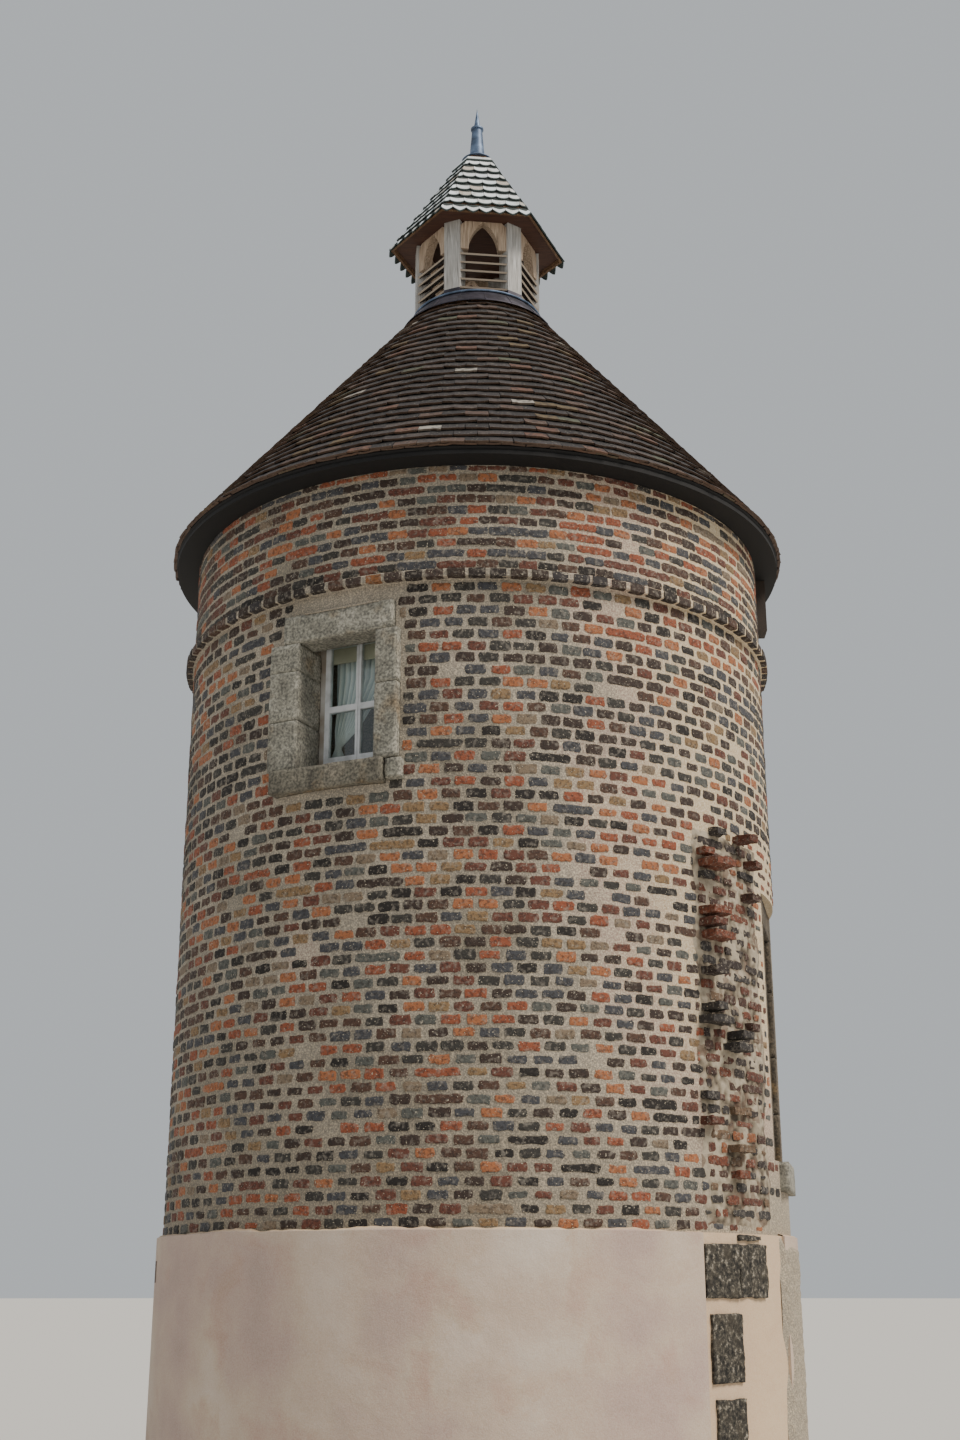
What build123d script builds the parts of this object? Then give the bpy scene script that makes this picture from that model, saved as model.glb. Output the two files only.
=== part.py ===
"""Round brick dovecote tower with a conical tiled roof and a six-sided louvred lantern.

Millimetres, +Z up. The tower's axis is the Z axis and the ground is z = 0. An azimuth is
counted in degrees from the front (the -Y side) towards the right (the +X side).
"""
from build123d import *
from math import asin, atan2, cos, degrees, radians, sin, sqrt, tan
import os

os.makedirs("parts", exist_ok=True)

# Round masonry wall, from the ground up: rendered base, two storeys, band and head
wall_radius = 2200.0
wall_thickness = 450.0
render_proud = 44.0
base_height = 1990.0
lower_storey = 2310.0
upper_storey = 1840.0
course_height = 79.8
band_proud = 70.0
head_height = 770.2
segment_joint = 64.2
segment_count = 3

# Floors
ground_floor_thickness = 100.0
joist_width = 90.0
joist_depth = 125.0
joist_bearing = 150.0
joist_spacing = 500.0
board_thickness = 25.0
board_gap = 10.0

# Window stones: clear opening, heights from the floor below and the course above
surround_depth = 310.0
lintel_depth = 220.0
lintel_height = 200.0
front_azimuth = -25.2
front_proud = 12.0
front_width = 584.0
front_sill_rise = 620.0
front_head_drop = 320.0
front_jambs = (224.0, 165.0)
front_lintel_ends = (126.0, 126.0)
front_sill_ends = (180.0, 78.0)
front_sill_height = 165.0
front_sill_projection = 40.0
front_bar_share = 0.43
side_azimuth = 77.0
side_proud = -51.0
side_width = 600.0
side_sill_rise = 486.0
side_head_drop = 200.0
side_jambs = (170.0, 170.0)
side_sill_ends = (60.0, 60.0)
side_sill_height = 196.0
side_sill_projection = 88.0
side_bar_share = 0.5

# Casement joinery
side_rebate = 12.0
head_rebate = 140.0
frame_width = 45.0
frame_foot = 70.0
frame_depth = 60.0
leaf_stile = 35.0
meeting_stile = 17.0
leaf_rail = 42.0
leaf_foot = 85.0
leaf_depth = 40.0
leaf_gap = 3.0
glazing_bar = 42.0
glass_thickness = 4.0
embrasure_step = 10.0
curtain_thickness = 24.0
curtain_clearance = 30.0

# Doorway to the ground-floor room, on the hidden side
door_azimuth = -90.0
door_width = 850.0
door_lintel_height = 140.0
door_lintel_bearing = 180.0
door_thickness = 50.0
door_setback = 260.0

# Conical roof
eave_overhang = 214.0
eave_rise = 77.0
roof_pitch = 51.2
tile_thickness = 40.0
boarding_thickness = 22.0
rafter_depth = 120.0
rafter_width = 80.0
rafter_count = 12
cornice_setback = 8.0
plate_width = 160.0
plate_setback = 60.0
plate_height = 140.0

# Lantern on its curb
lantern_turn = 6.5
sides = 6
post_corner_radius = 530.0
post_width = 140.0
post_depth = 120.0
post_height = 690.0
curb_thickness = 130.0
curb_depth = 280.0
flashing_thickness = 6.0
flashing_lap = 112.0
flashing_upstand = 20.0
louvre_drop = 55.0
louvre_pitch = 80.0
louvre_width = 80.0
louvre_thickness = 15.0
louvre_tilt = 30.0
louvre_setback = 12.0
brace_drop = 265.0
brace_setback = 18.0
brace_depth = 80.0
arch_half_width = 125.0
brace_corner_gap = 50.0
soffit_thickness = 20.0
top_plate_height = 80.0

# Lantern roof
lantern_overhang = 240.0
lantern_eave_drop = 24.0
lantern_slope = 60.6
lantern_boarding = 18.0
shingle_exposure = 137.0
shingle_step = 12.0
shingle_courses = 8

# Zinc finial
skirt_radius = 136.0
skirt_height = 64.0
tube_foot_radius = 66.0
tube_head_radius = 45.0
tube_height = 271.0
ring_radius = 56.0
ring_height = 14.0
spike_radius = 31.0
spike_height = 216.5

# Toothing: course number, azimuth of the left end, width and reach of each brick stub
brick_height = 58.0
bed_joint = 10.0
stub_bearing = 60.0
stubs = (
    (4, 46.6, 133, 85), (6, 46.2, 198, 100), (8, 39.8, 128, 100), (9, 47.3, 207, 50),
    (10, 39.9, 125, 65), (10, 53.0, 137, 15), (14, 45.9, 172, 145), (15, 47.3, 136, 145),
    (16, 40.3, 225, 125), (16, 53.3, 115, 75), (17, 41.0, 109, 155), (18, 54.9, 225, 20),
    (19, 41.2, 105, 20), (20, 41.3, 141, 135), (20, 50.1, 230, 20), (22, 47.9, 225, 20),
    (23, 41.7, 225, 130), (23, 57.5, 112, 15), (24, 41.2, 138, 150), (25, 41.3, 200, 140),
    (27, 45.0, 166, 20), (27, 54.0, 132, 110), (28, 41.2, 114, 75), (29, 41.4, 213, 180),
    (29, 53.2, 225, 35), (30, 41.0, 110, 95), (30, 55.6, 115, 115), (32, 45.0, 115, 80),
    (32, 52.5, 110, 145),
)

# Unrendered strip under the toothing: each stone's azimuths, and its foot and top below the base's top
scar_proud = 24.0
scar_azimuth = 38.2
stone_proud = 14.0
stones = (
    (38.6, 55.4, 390.0, 60.0),
    (47.2, 54.0, 45.0, 5.0),
    (39.5, 47.0, 880.0, 470.0),
    (40.1, 47.0, 1340.0, 960.0),
    (39.5, 48.5, 1750.0, 1400.0),
)

# Timber bracket under the eaves
bracket_azimuth = 87.5
bracket_width = 180.0
bracket_height = 420.0
bracket_reach = 85.0

# Sizes that follow from the driving ones
room_radius = wall_radius - wall_thickness
base_radius = wall_radius + render_proud
scar_radius = wall_radius + scar_proud
upper_floor_level = base_height + lower_storey
band_bottom = upper_floor_level + upper_storey
band_top = band_bottom + course_height
wall_top = band_top + head_height
eave_radius = wall_radius + eave_overhang
eave_height = wall_top + eave_rise
covering_depth = tile_thickness + boarding_thickness
rafters_depth = covering_depth + rafter_depth
tile_foot_radius = eave_radius - tile_thickness * sin(radians(roof_pitch))
cornice_radius = tile_foot_radius - cornice_setback
half_turn = radians(180.0 / sides)
post_face = sqrt(post_corner_radius**2 - (post_width / 2) ** 2)
bay_face = post_face * cos(half_turn) + post_width / 2 * sin(half_turn)
bay_half_width = post_face * sin(half_turn) - post_width / 2 * cos(half_turn)
curb_inner_radius = post_corner_radius - curb_thickness
curb_top = eave_height + (eave_radius - post_corner_radius) * tan(radians(roof_pitch)) + flashing_upstand
post_head = curb_top + post_height
louvre_rise = post_height - brace_drop - louvre_drop
louvre_count = int(louvre_rise / louvre_pitch) + 1


def save(piece, name):
    """Label a finished piece and write its STEP file."""
    piece.part.label = name
    export_step(piece.part, f"parts/{name}.step")


def elevation(azimuth, distance):
    """Upright plane that faces outwards, with x to the right and y up from the ground."""
    turn = radians(azimuth)
    return Plane(
        origin=(distance * sin(turn), -distance * cos(turn), 0),
        x_dir=(cos(turn), sin(turn), 0),
        z_dir=(sin(turn), -cos(turn), 0),
    )


def ring_sector(inner, outer, start, end, height):
    """Plan of a piece of round wall between two azimuths, at a height."""
    with BuildSketch(Plane.XY.offset(height)) as plan:
        with BuildLine():
            outside = CenterArc((0, 0), outer, start - 90, end - start)
            inside = CenterArc((0, 0), inner, start - 90, end - start)
            Line(outside @ 0, inside @ 0)
            Line(outside @ 1, inside @ 1)
        make_face()
    return plan.sketch


def disc(radius, height):
    """Plan of a full circle at a height."""
    with BuildSketch(Plane.XY.offset(height)) as plan:
        Circle(radius)
    return plan.sketch


def full_ring(inner, outer, height):
    """Plan of a whole ring at a height."""
    with BuildSketch(Plane.XY.offset(height)) as plan:
        Circle(outer)
        Circle(inner, mode=Mode.SUBTRACT)
    return plan.sketch


def panel(plane, left, right, bottom, top):
    """Upright rectangle on an elevation plane."""
    with BuildSketch(plane) as outline:
        with BuildLine():
            Polyline((left, bottom), (right, bottom), (right, top), (left, top), close=True)
        make_face()
    return outline.sketch


def revolved(points):
    """Solid of revolution about the tower's axis from radius and height pairs."""
    with BuildSketch(Plane.XZ) as profile:
        with BuildLine():
            Polyline(*points, close=True)
        make_face()
    revolve(profile.sketch, Axis.Z, 360)


def roof_height(radius, depth):
    """Height of the line at a depth under the cone's surface, at a radius."""
    slope = radians(roof_pitch)
    return eave_height + (eave_radius - radius) * tan(slope) - depth / cos(slope)


def hexagon(corner_radius, height):
    """Level six-sided outline of the lantern at a height."""
    with BuildSketch(Plane.XY.offset(height)) as outline:
        RegularPolygon(corner_radius, sides, rotation=lantern_turn - 90 + 180 / sides)
    return outline.sketch


# Floors

def joist_lines():
    """Places along X of the joists that have masonry to bear on."""
    reach = int((room_radius - joist_width) / joist_spacing)
    return [joist_spacing * k for k in range(-reach, reach + 1)]


def joists(top):
    """Parallel joists across the round room, each let into the wall at both ends."""
    for x in joist_lines():
        edge = abs(x) + joist_width / 2
        half_length = sqrt(room_radius**2 - edge**2) + joist_bearing
        with BuildSketch(Plane.XY.offset(top - joist_depth)) as plan:
            with Locations((x, 0)):
                Rectangle(joist_width, 2 * half_length)
        extrude(plan.sketch, amount=joist_depth)


def floor_pieces(name, top):
    """Joists with a round deck of boards on them."""
    with BuildPart() as joist_set:
        joists(top - board_thickness)
    save(joist_set, f"{name}_joists")
    with BuildPart() as deck:
        extrude(disc(room_radius - board_gap, top - board_thickness), amount=board_thickness)
    save(deck, f"{name}_boards")
    return joist_set.part


with BuildPart() as ground_floor:
    extrude(disc(room_radius, 0), amount=ground_floor_thickness)
save(ground_floor, "ground_floor")

first_joists = floor_pieces("first_floor", base_height)
upper_joists = floor_pieces("upper_floor", upper_floor_level)


# Windows

class Window:
    """One window: its stones, its joinery and the hole that they need in the wall."""

    def __init__(self, name, azimuth, proud, width, sill_top, head):
        self.name = name
        self.back = elevation(azimuth, wall_radius + proud - surround_depth)
        self.lintel_back = self.back.offset(surround_depth - lintel_depth)
        self.half = width / 2
        self.sill_top = sill_top
        self.head = head
        self.frame_half = self.half + side_rebate
        self.frame_head = head + head_rebate

    def set_stones(self, jambs, lintel_ends, sill_ends, sill_height, sill_projection):
        """Outlines of the lintel, the sill and the two jambs."""
        half, low, high = self.half, self.sill_top, self.head
        self.sill_depth = surround_depth + sill_projection
        self.lintel_shape = panel(self.lintel_back, -half - lintel_ends[0], half + lintel_ends[1],
                                  high, high + lintel_height)
        self.sill_shape = panel(self.back, -half - sill_ends[0], half + sill_ends[1],
                                low - sill_height, low)
        self.jamb_shapes = (panel(self.back, -half - jambs[0], -half, low, high),
                            panel(self.back, half, half + jambs[1], low, high))

    def stones(self):
        """Lintel on two jambs on a projecting sill."""
        with BuildPart() as lintel:
            extrude(self.lintel_shape, amount=lintel_depth)
        save(lintel, f"{self.name}_lintel")
        with BuildPart() as sill:
            extrude(self.sill_shape, amount=self.sill_depth)
        save(sill, f"{self.name}_sill")
        with BuildPart() as jambs:
            for shape in self.jamb_shapes:
                extrude(shape, amount=surround_depth)
        save(jambs, f"{self.name}_jambs")

    def wall_hole(self):
        """Pocket for the stones and the frame, and the embrasure through to the room."""
        clear = panel(self.back, -self.half, self.half, self.sill_top, self.head)
        frame = panel(self.back, -self.frame_half, self.frame_half, self.sill_top, self.frame_head)
        embrasure = panel(self.back, -self.frame_half, self.frame_half,
                          self.sill_top, self.head + embrasure_step)
        with BuildPart() as hole:
            for shape in (self.lintel_shape, self.sill_shape, *self.jamb_shapes, clear):
                extrude(shape, amount=2 * surround_depth)
            extrude(frame, amount=-frame_depth)
            extrude(frame, amount=surround_depth - lintel_depth)
            extrude(embrasure, amount=-wall_thickness)
        return hole.part

    def pane_edges(self):
        """Left and right edges of the glass in the two leaves."""
        outer = self.frame_half - frame_width - leaf_stile
        inner = meeting_stile + leaf_gap / 2
        return ((-outer, -inner), (inner, outer))

    def joinery(self, bar_share):
        """Fixed frame behind the stones, two leaves with a glazing bar, and their glass."""
        with BuildPart() as frame:
            with BuildSketch(self.back):
                with BuildLine():
                    half, low, high = self.frame_half, self.sill_top, self.frame_head
                    Polyline((-half, low), (half, low), (half, high), (-half, high), close=True)
                make_face()
                with BuildLine():
                    half, low, high = half - frame_width, low + frame_foot, high - frame_width
                    Polyline((-half, low), (half, low), (half, high), (-half, high), close=True)
                make_face(mode=Mode.SUBTRACT)
            extrude(amount=-frame_depth)
        save(frame, f"{self.name}_frame")

        glass_foot, glass_head = low + leaf_foot, high - leaf_rail
        bar = glass_foot + bar_share * (glass_head - glass_foot)
        rows = ((glass_foot, bar - glazing_bar / 2), (bar + glazing_bar / 2, glass_head))
        with BuildPart() as leaves:
            extrude(panel(self.back, -half, half, low, high), amount=-leaf_depth)
            extrude(panel(self.back, -leaf_gap / 2, leaf_gap / 2, low, high),
                    amount=-leaf_depth, mode=Mode.SUBTRACT)
            for left, right in self.pane_edges():
                for bottom, top in rows:
                    extrude(panel(self.back, left, right, bottom, top),
                            amount=-leaf_depth, mode=Mode.SUBTRACT)
        save(leaves, f"{self.name}_casements")

        with BuildPart() as glass:
            for left, right in self.pane_edges():
                for bottom, top in rows:
                    pane = panel(self.back.offset(-leaf_depth / 2), left, right, bottom, top)
                    extrude(pane, amount=glass_thickness / 2, both=True)
        save(glass, f"{self.name}_glass")

    def curtains(self):
        """Two thin curtains that hang in the embrasure behind the glass."""
        plane = self.back.offset(-frame_depth - curtain_clearance)
        edge = self.frame_half - frame_width / 2
        with BuildPart() as drapes:
            for left, right in ((-edge, -curtain_clearance / 2), (curtain_clearance / 2, edge)):
                shape = panel(plane, left, right, self.sill_top + curtain_clearance,
                              self.head - curtain_clearance)
                extrude(shape, amount=-curtain_thickness)
        save(drapes, f"{self.name}_curtains")


front_window = Window("front_window", front_azimuth, front_proud, front_width,
                      upper_floor_level + front_sill_rise, band_bottom - front_head_drop)
front_window.set_stones(front_jambs, front_lintel_ends, front_sill_ends,
                        front_sill_height, front_sill_projection)
side_window = Window("side_window", side_azimuth, side_proud, side_width,
                     base_height + side_sill_rise, upper_floor_level - side_head_drop)
side_window.set_stones(side_jambs, side_jambs, side_sill_ends,
                       side_sill_height, side_sill_projection)
front_window.stones()
front_window.joinery(front_bar_share)
front_window.curtains()
side_window.stones()
side_window.joinery(side_bar_share)


# Doorway

door_foot = ground_floor_thickness
door_head = base_height - board_thickness - joist_depth - door_lintel_height

with BuildPart() as door_lintel:
    reach = door_width / 2 + door_lintel_bearing
    shape = panel(elevation(door_azimuth, 0), -reach, reach, door_head, door_head + door_lintel_height)
    extrude(shape, amount=2 * base_radius)
    extrude(disc(room_radius, door_head), amount=door_lintel_height, mode=Mode.SUBTRACT)
    extrude(disc(base_radius, door_head), amount=door_lintel_height, mode=Mode.INTERSECT)
save(door_lintel, "door_lintel")

with BuildPart() as door:
    shape = panel(elevation(door_azimuth, base_radius - door_setback),
                  -door_width / 2, door_width / 2, door_foot, door_head)
    extrude(shape, amount=-door_thickness)
save(door, "door")

with BuildPart() as doorway:
    shape = panel(elevation(door_azimuth, 0), -door_width / 2, door_width / 2, door_foot, door_head)
    extrude(shape, amount=2 * base_radius)
    add(door_lintel.part)


# Masonry in rings, each cut into segments that sit on the ring below

segment_names = ("front", "right", "left")
segment_span = 360.0 / segment_count
front_start = segment_joint - segment_span


def wall_segments(name, outer, bottom, top, holes):
    """Three arcs of masonry with the holes that fall on them."""
    for k, side in enumerate(segment_names):
        start = front_start + segment_span * k
        with BuildPart() as segment:
            plan = ring_sector(room_radius, outer, start, start + segment_span, bottom)
            extrude(plan, amount=top - bottom)
            for hole in holes:
                add(hole, mode=Mode.SUBTRACT)
        save(segment, f"{name}_{side}")


with BuildPart() as scar:
    plan = ring_sector(scar_radius, base_radius + render_proud, scar_azimuth, segment_joint, 0)
    extrude(plan, amount=base_height)

wall_segments("base_wall", base_radius, 0, base_height, [first_joists, doorway.part, scar.part])
wall_segments("lower_wall", wall_radius, base_height, upper_floor_level,
              [upper_joists, side_window.wall_hole()])
wall_segments("upper_wall", wall_radius, upper_floor_level, band_bottom, [front_window.wall_hole()])

with BuildPart() as string_course:
    extrude(full_ring(room_radius, wall_radius + band_proud, band_bottom), amount=course_height)
save(string_course, "string_course")

with BuildPart() as wall_head:
    extrude(full_ring(room_radius, wall_radius, band_top), amount=head_height)
save(wall_head, "wall_head")

with BuildPart() as corner_stones:
    for start, end, foot_drop, top_drop in stones:
        extrude(ring_sector(scar_radius, scar_radius + stone_proud, start, end, base_height - foot_drop),
                amount=foot_drop - top_drop)
save(corner_stones, "corner_stones")

with BuildPart() as toothing_bricks:
    for course, azimuth, width, reach in stubs:
        low = base_height + course * course_height + bed_joint
        middle = azimuth + degrees(asin(width / 2 / wall_radius))
        face = panel(elevation(middle, wall_radius - stub_bearing), -width / 2, width / 2,
                     low, low + brick_height)
        extrude(face, amount=stub_bearing + reach)
    extrude(disc(wall_radius, 0), amount=wall_top, mode=Mode.SUBTRACT)
save(toothing_bricks, "toothing_bricks")


# Conical roof

with BuildPart() as eaves_cornice:
    revolved([
        (wall_radius, wall_top),
        (cornice_radius, wall_top),
        (cornice_radius, roof_height(cornice_radius, covering_depth)),
        (wall_radius, roof_height(wall_radius, covering_depth)),
    ])
save(eaves_cornice, "eaves_cornice")

plate_outer = wall_radius - plate_setback
with BuildPart() as wall_plate:
    extrude(full_ring(plate_outer - plate_width, plate_outer, wall_top), amount=plate_height)
save(wall_plate, "wall_plate")

with BuildPart() as lantern_curb:
    extrude(full_ring(curb_inner_radius, post_corner_radius, curb_top - curb_depth), amount=curb_depth)
save(lantern_curb, "lantern_curb")

with BuildPart() as roof_tiles:
    revolved([
        (eave_radius, eave_height),
        (tile_foot_radius, roof_height(tile_foot_radius, tile_thickness)),
        (cornice_radius, roof_height(cornice_radius, tile_thickness)),
        (cornice_radius, roof_height(cornice_radius, covering_depth)),
        (post_corner_radius, roof_height(post_corner_radius, covering_depth)),
        (post_corner_radius, roof_height(post_corner_radius, 0)),
    ])
save(roof_tiles, "roof_tiles")

with BuildPart() as one_rafter:
    with BuildSketch(Plane.XZ):
        with BuildLine():
            Polyline(
                (post_corner_radius, roof_height(post_corner_radius, covering_depth)),
                (wall_radius, roof_height(wall_radius, covering_depth)),
                (wall_radius, roof_height(wall_radius, rafters_depth)),
                (post_corner_radius, roof_height(post_corner_radius, rafters_depth)),
                close=True,
            )
        make_face()
    extrude(amount=rafter_width / 2, both=True)
    for neighbour in (wall_plate, wall_head, eaves_cornice, lantern_curb, roof_tiles):
        add(neighbour.part, mode=Mode.SUBTRACT)

with BuildPart() as rafters:
    with PolarLocations(0, rafter_count):
        add(one_rafter.part)
save(rafters, "rafters")

flashing_radius = post_corner_radius + flashing_thickness
lap_radius = post_corner_radius + flashing_lap
with BuildPart() as lantern_flashing:
    revolved([
        (post_corner_radius, roof_height(post_corner_radius, 0)),
        (lap_radius, roof_height(lap_radius, 0)),
        (lap_radius, roof_height(lap_radius, -flashing_thickness)),
        (flashing_radius, roof_height(flashing_radius, -flashing_thickness)),
        (flashing_radius, curb_top),
        (post_corner_radius, curb_top),
    ])
save(lantern_flashing, "lantern_flashing")

with BuildPart() as eaves_bracket:
    face = panel(elevation(bracket_azimuth, room_radius), -bracket_width / 2, bracket_width / 2,
                 wall_top - bracket_height, wall_top)
    extrude(face, amount=wall_thickness + bracket_reach)
    extrude(disc(wall_radius, 0), amount=wall_top, mode=Mode.SUBTRACT)
save(eaves_bracket, "eaves_bracket")


# Lantern: posts, arched braces and louvres stand on the curb

with BuildPart() as one_post:
    with BuildSketch(Plane.XY.offset(curb_top)):
        with Locations((post_face, 0)):
            Rectangle(post_depth, post_width, align=(Align.MAX, Align.CENTER))
    extrude(amount=post_height)

with BuildPart() as lantern_posts:
    with PolarLocations(0, sides, start_angle=lantern_turn - 90 + 180 / sides):
        add(one_post.part)
save(lantern_posts, "lantern_posts")


def bay_plan():
    """Plan of the space between two neighbouring posts, for the bay that faces the front."""
    inner = curb_inner_radius * cos(half_turn) - post_width / 2

    def jamb(distance):
        """Half the clear width at a distance from the axis."""
        return distance * tan(half_turn) - post_width / 2 / cos(half_turn)

    with BuildSketch(Plane.XY.offset(curb_top)) as plan:
        with BuildLine():
            Polyline(
                (-jamb(bay_face), -bay_face),
                (jamb(bay_face), -bay_face),
                (jamb(inner), -inner),
                (-jamb(inner), -inner),
                close=True,
            )
        make_face()
    return plan.sketch


with BuildPart() as one_bay_louvres:
    with BuildSketch(Plane.YZ):
        for k in range(louvre_count):
            height = curb_top + louvre_rise - louvre_pitch * k
            with Locations((-bay_face + louvre_setback, height)):
                Rectangle(louvre_width, louvre_thickness, rotation=louvre_tilt,
                          align=(Align.MIN, Align.CENTER))
    extrude(amount=bay_half_width, both=True)
    extrude(bay_plan(), amount=post_height, mode=Mode.INTERSECT)

with BuildPart() as lantern_louvres:
    with PolarLocations(0, sides, start_angle=lantern_turn):
        add(one_bay_louvres.part)
save(lantern_louvres, "lantern_louvres")

brace_foot = post_head - brace_drop
arch_radius = (arch_half_width**2 + brace_drop**2) / (2 * arch_half_width)
arch_centre = arch_radius - arch_half_width

with BuildPart() as one_bay_braces:
    with BuildSketch(elevation(0, bay_face - brace_setback)):
        with BuildLine():
            corner = bay_half_width - brace_corner_gap
            turn = atan2(brace_drop, -arch_centre) / 2 + radians(90)
            spring = (-arch_half_width, brace_foot)
            on_arch = (arch_centre + arch_radius * cos(turn), brace_foot + arch_radius * sin(turn))
            ThreePointArc(spring, on_arch, (0, post_head))
            Polyline((0, post_head), (-corner, post_head), (-bay_half_width, post_head - brace_corner_gap),
                     (-bay_half_width, brace_foot), spring)
        make_face()
        mirror(about=Plane.YZ)
    extrude(amount=-brace_depth)
    extrude(bay_plan(), amount=post_height, mode=Mode.INTERSECT)

with BuildPart() as lantern_braces:
    with PolarLocations(0, sides, start_angle=lantern_turn):
        add(one_bay_braces.part)
save(lantern_braces, "lantern_braces")


# Lantern roof: boards under courses of shingles, each course proud of the next at its foot

lantern_run = tan(radians(90 - lantern_slope))
lantern_foot = post_head - lantern_eave_drop
eave_apothem = (post_corner_radius + lantern_overhang) * cos(half_turn)
course_rise = shingle_exposure * sin(radians(lantern_slope))
roof_top = lantern_foot + course_rise * shingle_courses
level_boarding = lantern_boarding / sin(radians(lantern_slope))
boards_inset = 2 * shingle_step
loft_inset = boards_inset + level_boarding


def hexagonal_frustum(bottom, top, foot_inset, head_inset, mode=Mode.ADD):
    """Six-sided frustum between two heights, set in level from the roof's slopes."""
    foot = eave_apothem - (bottom - lantern_foot) * lantern_run - foot_inset
    head = eave_apothem - (top - lantern_foot) * lantern_run - head_inset
    extrude(hexagon(foot / cos(half_turn), bottom), amount=top - bottom,
            taper=degrees(atan2(foot - head, top - bottom)), mode=mode)


with BuildPart() as lantern_shingles:
    for k in range(shingle_courses):
        low = lantern_foot + course_rise * k
        hexagonal_frustum(low, low + course_rise, 0, shingle_step)
    hexagonal_frustum(lantern_foot, roof_top, boards_inset, boards_inset, mode=Mode.SUBTRACT)
save(lantern_shingles, "lantern_shingles")

with BuildPart() as lantern_boards:
    hexagonal_frustum(lantern_foot, roof_top, boards_inset, boards_inset)
    hexagonal_frustum(lantern_foot, roof_top - level_boarding, loft_inset, loft_inset,
                      mode=Mode.SUBTRACT)
save(lantern_boards, "lantern_boards")

soffit_top = post_head + soffit_thickness
with BuildPart() as lantern_soffit:
    hexagonal_frustum(post_head, soffit_top, loft_inset, loft_inset)
save(lantern_soffit, "lantern_soffit")

with BuildPart() as lantern_top_plate:
    extrude(hexagon(post_corner_radius, soffit_top), amount=top_plate_height)
    extrude(hexagon(post_corner_radius - post_width, soffit_top), amount=top_plate_height,
            mode=Mode.SUBTRACT)
save(lantern_top_plate, "lantern_top_plate")


# Zinc finial: a skirt over the shingles, a tapered tube, a ring and a spike

tube_foot = roof_top + skirt_height
tube_head = tube_foot + tube_height
ring_bottom = tube_head + ring_height / 4
ring_top = ring_bottom + ring_height
with BuildPart() as finial_skirt:
    revolved([
        (0, roof_top),
        (skirt_radius, roof_top),
        (skirt_radius, roof_top + flashing_thickness),
        (tube_foot_radius, tube_foot),
        (0, tube_foot),
    ])
save(finial_skirt, "finial_skirt")

with BuildPart() as finial:
    revolved([
        (0, tube_foot),
        (tube_foot_radius, tube_foot),
        (tube_head_radius, tube_head),
        (ring_radius, ring_bottom),
        (ring_radius, ring_top),
        (spike_radius, ring_top),
        (0, ring_top + spike_height),
    ])
save(finial, "finial")
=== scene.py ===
"""Looks of a round brick dovecote tower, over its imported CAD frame. Metres, +Z up.

An azimuth is counted in degrees from the front (the -Y side) towards the right (+X), as in
the CAD. A small piece is drawn as it stands at the front, and is then turned about Z.
"""
import math
import random

import bpy
from mathutils import Matrix, Vector, noise


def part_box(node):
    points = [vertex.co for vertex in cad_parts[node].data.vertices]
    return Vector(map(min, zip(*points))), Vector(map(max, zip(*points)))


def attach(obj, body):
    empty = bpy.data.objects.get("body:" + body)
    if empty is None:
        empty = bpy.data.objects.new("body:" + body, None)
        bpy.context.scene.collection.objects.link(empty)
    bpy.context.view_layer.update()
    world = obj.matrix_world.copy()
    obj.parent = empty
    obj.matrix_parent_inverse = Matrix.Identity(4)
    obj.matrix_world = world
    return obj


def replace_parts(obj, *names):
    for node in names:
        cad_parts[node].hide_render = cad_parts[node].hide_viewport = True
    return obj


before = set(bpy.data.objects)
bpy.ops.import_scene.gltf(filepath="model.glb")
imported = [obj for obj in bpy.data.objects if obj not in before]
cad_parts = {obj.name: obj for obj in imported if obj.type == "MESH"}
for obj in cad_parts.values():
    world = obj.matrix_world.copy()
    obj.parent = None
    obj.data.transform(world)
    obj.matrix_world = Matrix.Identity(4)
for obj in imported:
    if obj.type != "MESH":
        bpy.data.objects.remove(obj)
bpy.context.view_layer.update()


# Studio: the camera stands 12.7 m in front of the tower at eye height and looks up at it.
# The floor is pale matt card, and a broad soft light comes from high on the right.

camera = bpy.data.objects.new("camera", bpy.data.cameras.new("camera"))
camera.location = (0.0, -12.726, 1.65)
camera.rotation_euler = (math.radians(90 + 18.43), 0.0, 0.0)
camera.data.sensor_width = 36.0
camera.data.lens = 42.8
camera.data.shift_x = 0.002
camera.data.clip_end = 1000.0
bpy.context.scene.collection.objects.link(camera)
bpy.context.scene.camera = camera


def linear(colour):
    """sRGB hex colour as the linear one that Blender's nodes take."""
    channels = [int(colour[k:k + 2], 16) / 255 for k in (1, 3, 5)]
    return (*[c / 12.92 if c <= 0.04045 else ((c + 0.055) / 1.055) ** 2.4 for c in channels], 1.0)


def add_node(tree, kind, inputs=None, output=None, stops=None, **settings):
    """Add a shader node and return its output. An input is a number, a hex colour or an output."""
    node = tree.nodes.new("ShaderNode" + kind)
    for setting, value in settings.items():
        setattr(node, setting, value)
    if stops:
        ramp = node.color_ramp.elements
        while len(ramp) < len(stops):
            ramp.new(1.0)
        for element, (place, colour) in zip(ramp, stops):
            element.position, element.color = place, linear(colour)
    for name, value in (inputs or {}).items():
        sockets = [s for s in node.inputs if s.enabled and s.name == name]
        socket = sockets[0] if sockets else node.inputs[name]
        if isinstance(value, bpy.types.NodeSocket):
            tree.links.new(value, socket)
        else:
            socket.default_value = linear(value) if isinstance(value, str) else value
    return node.outputs[output] if output else next(s for s in node.outputs if s.enabled)


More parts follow.
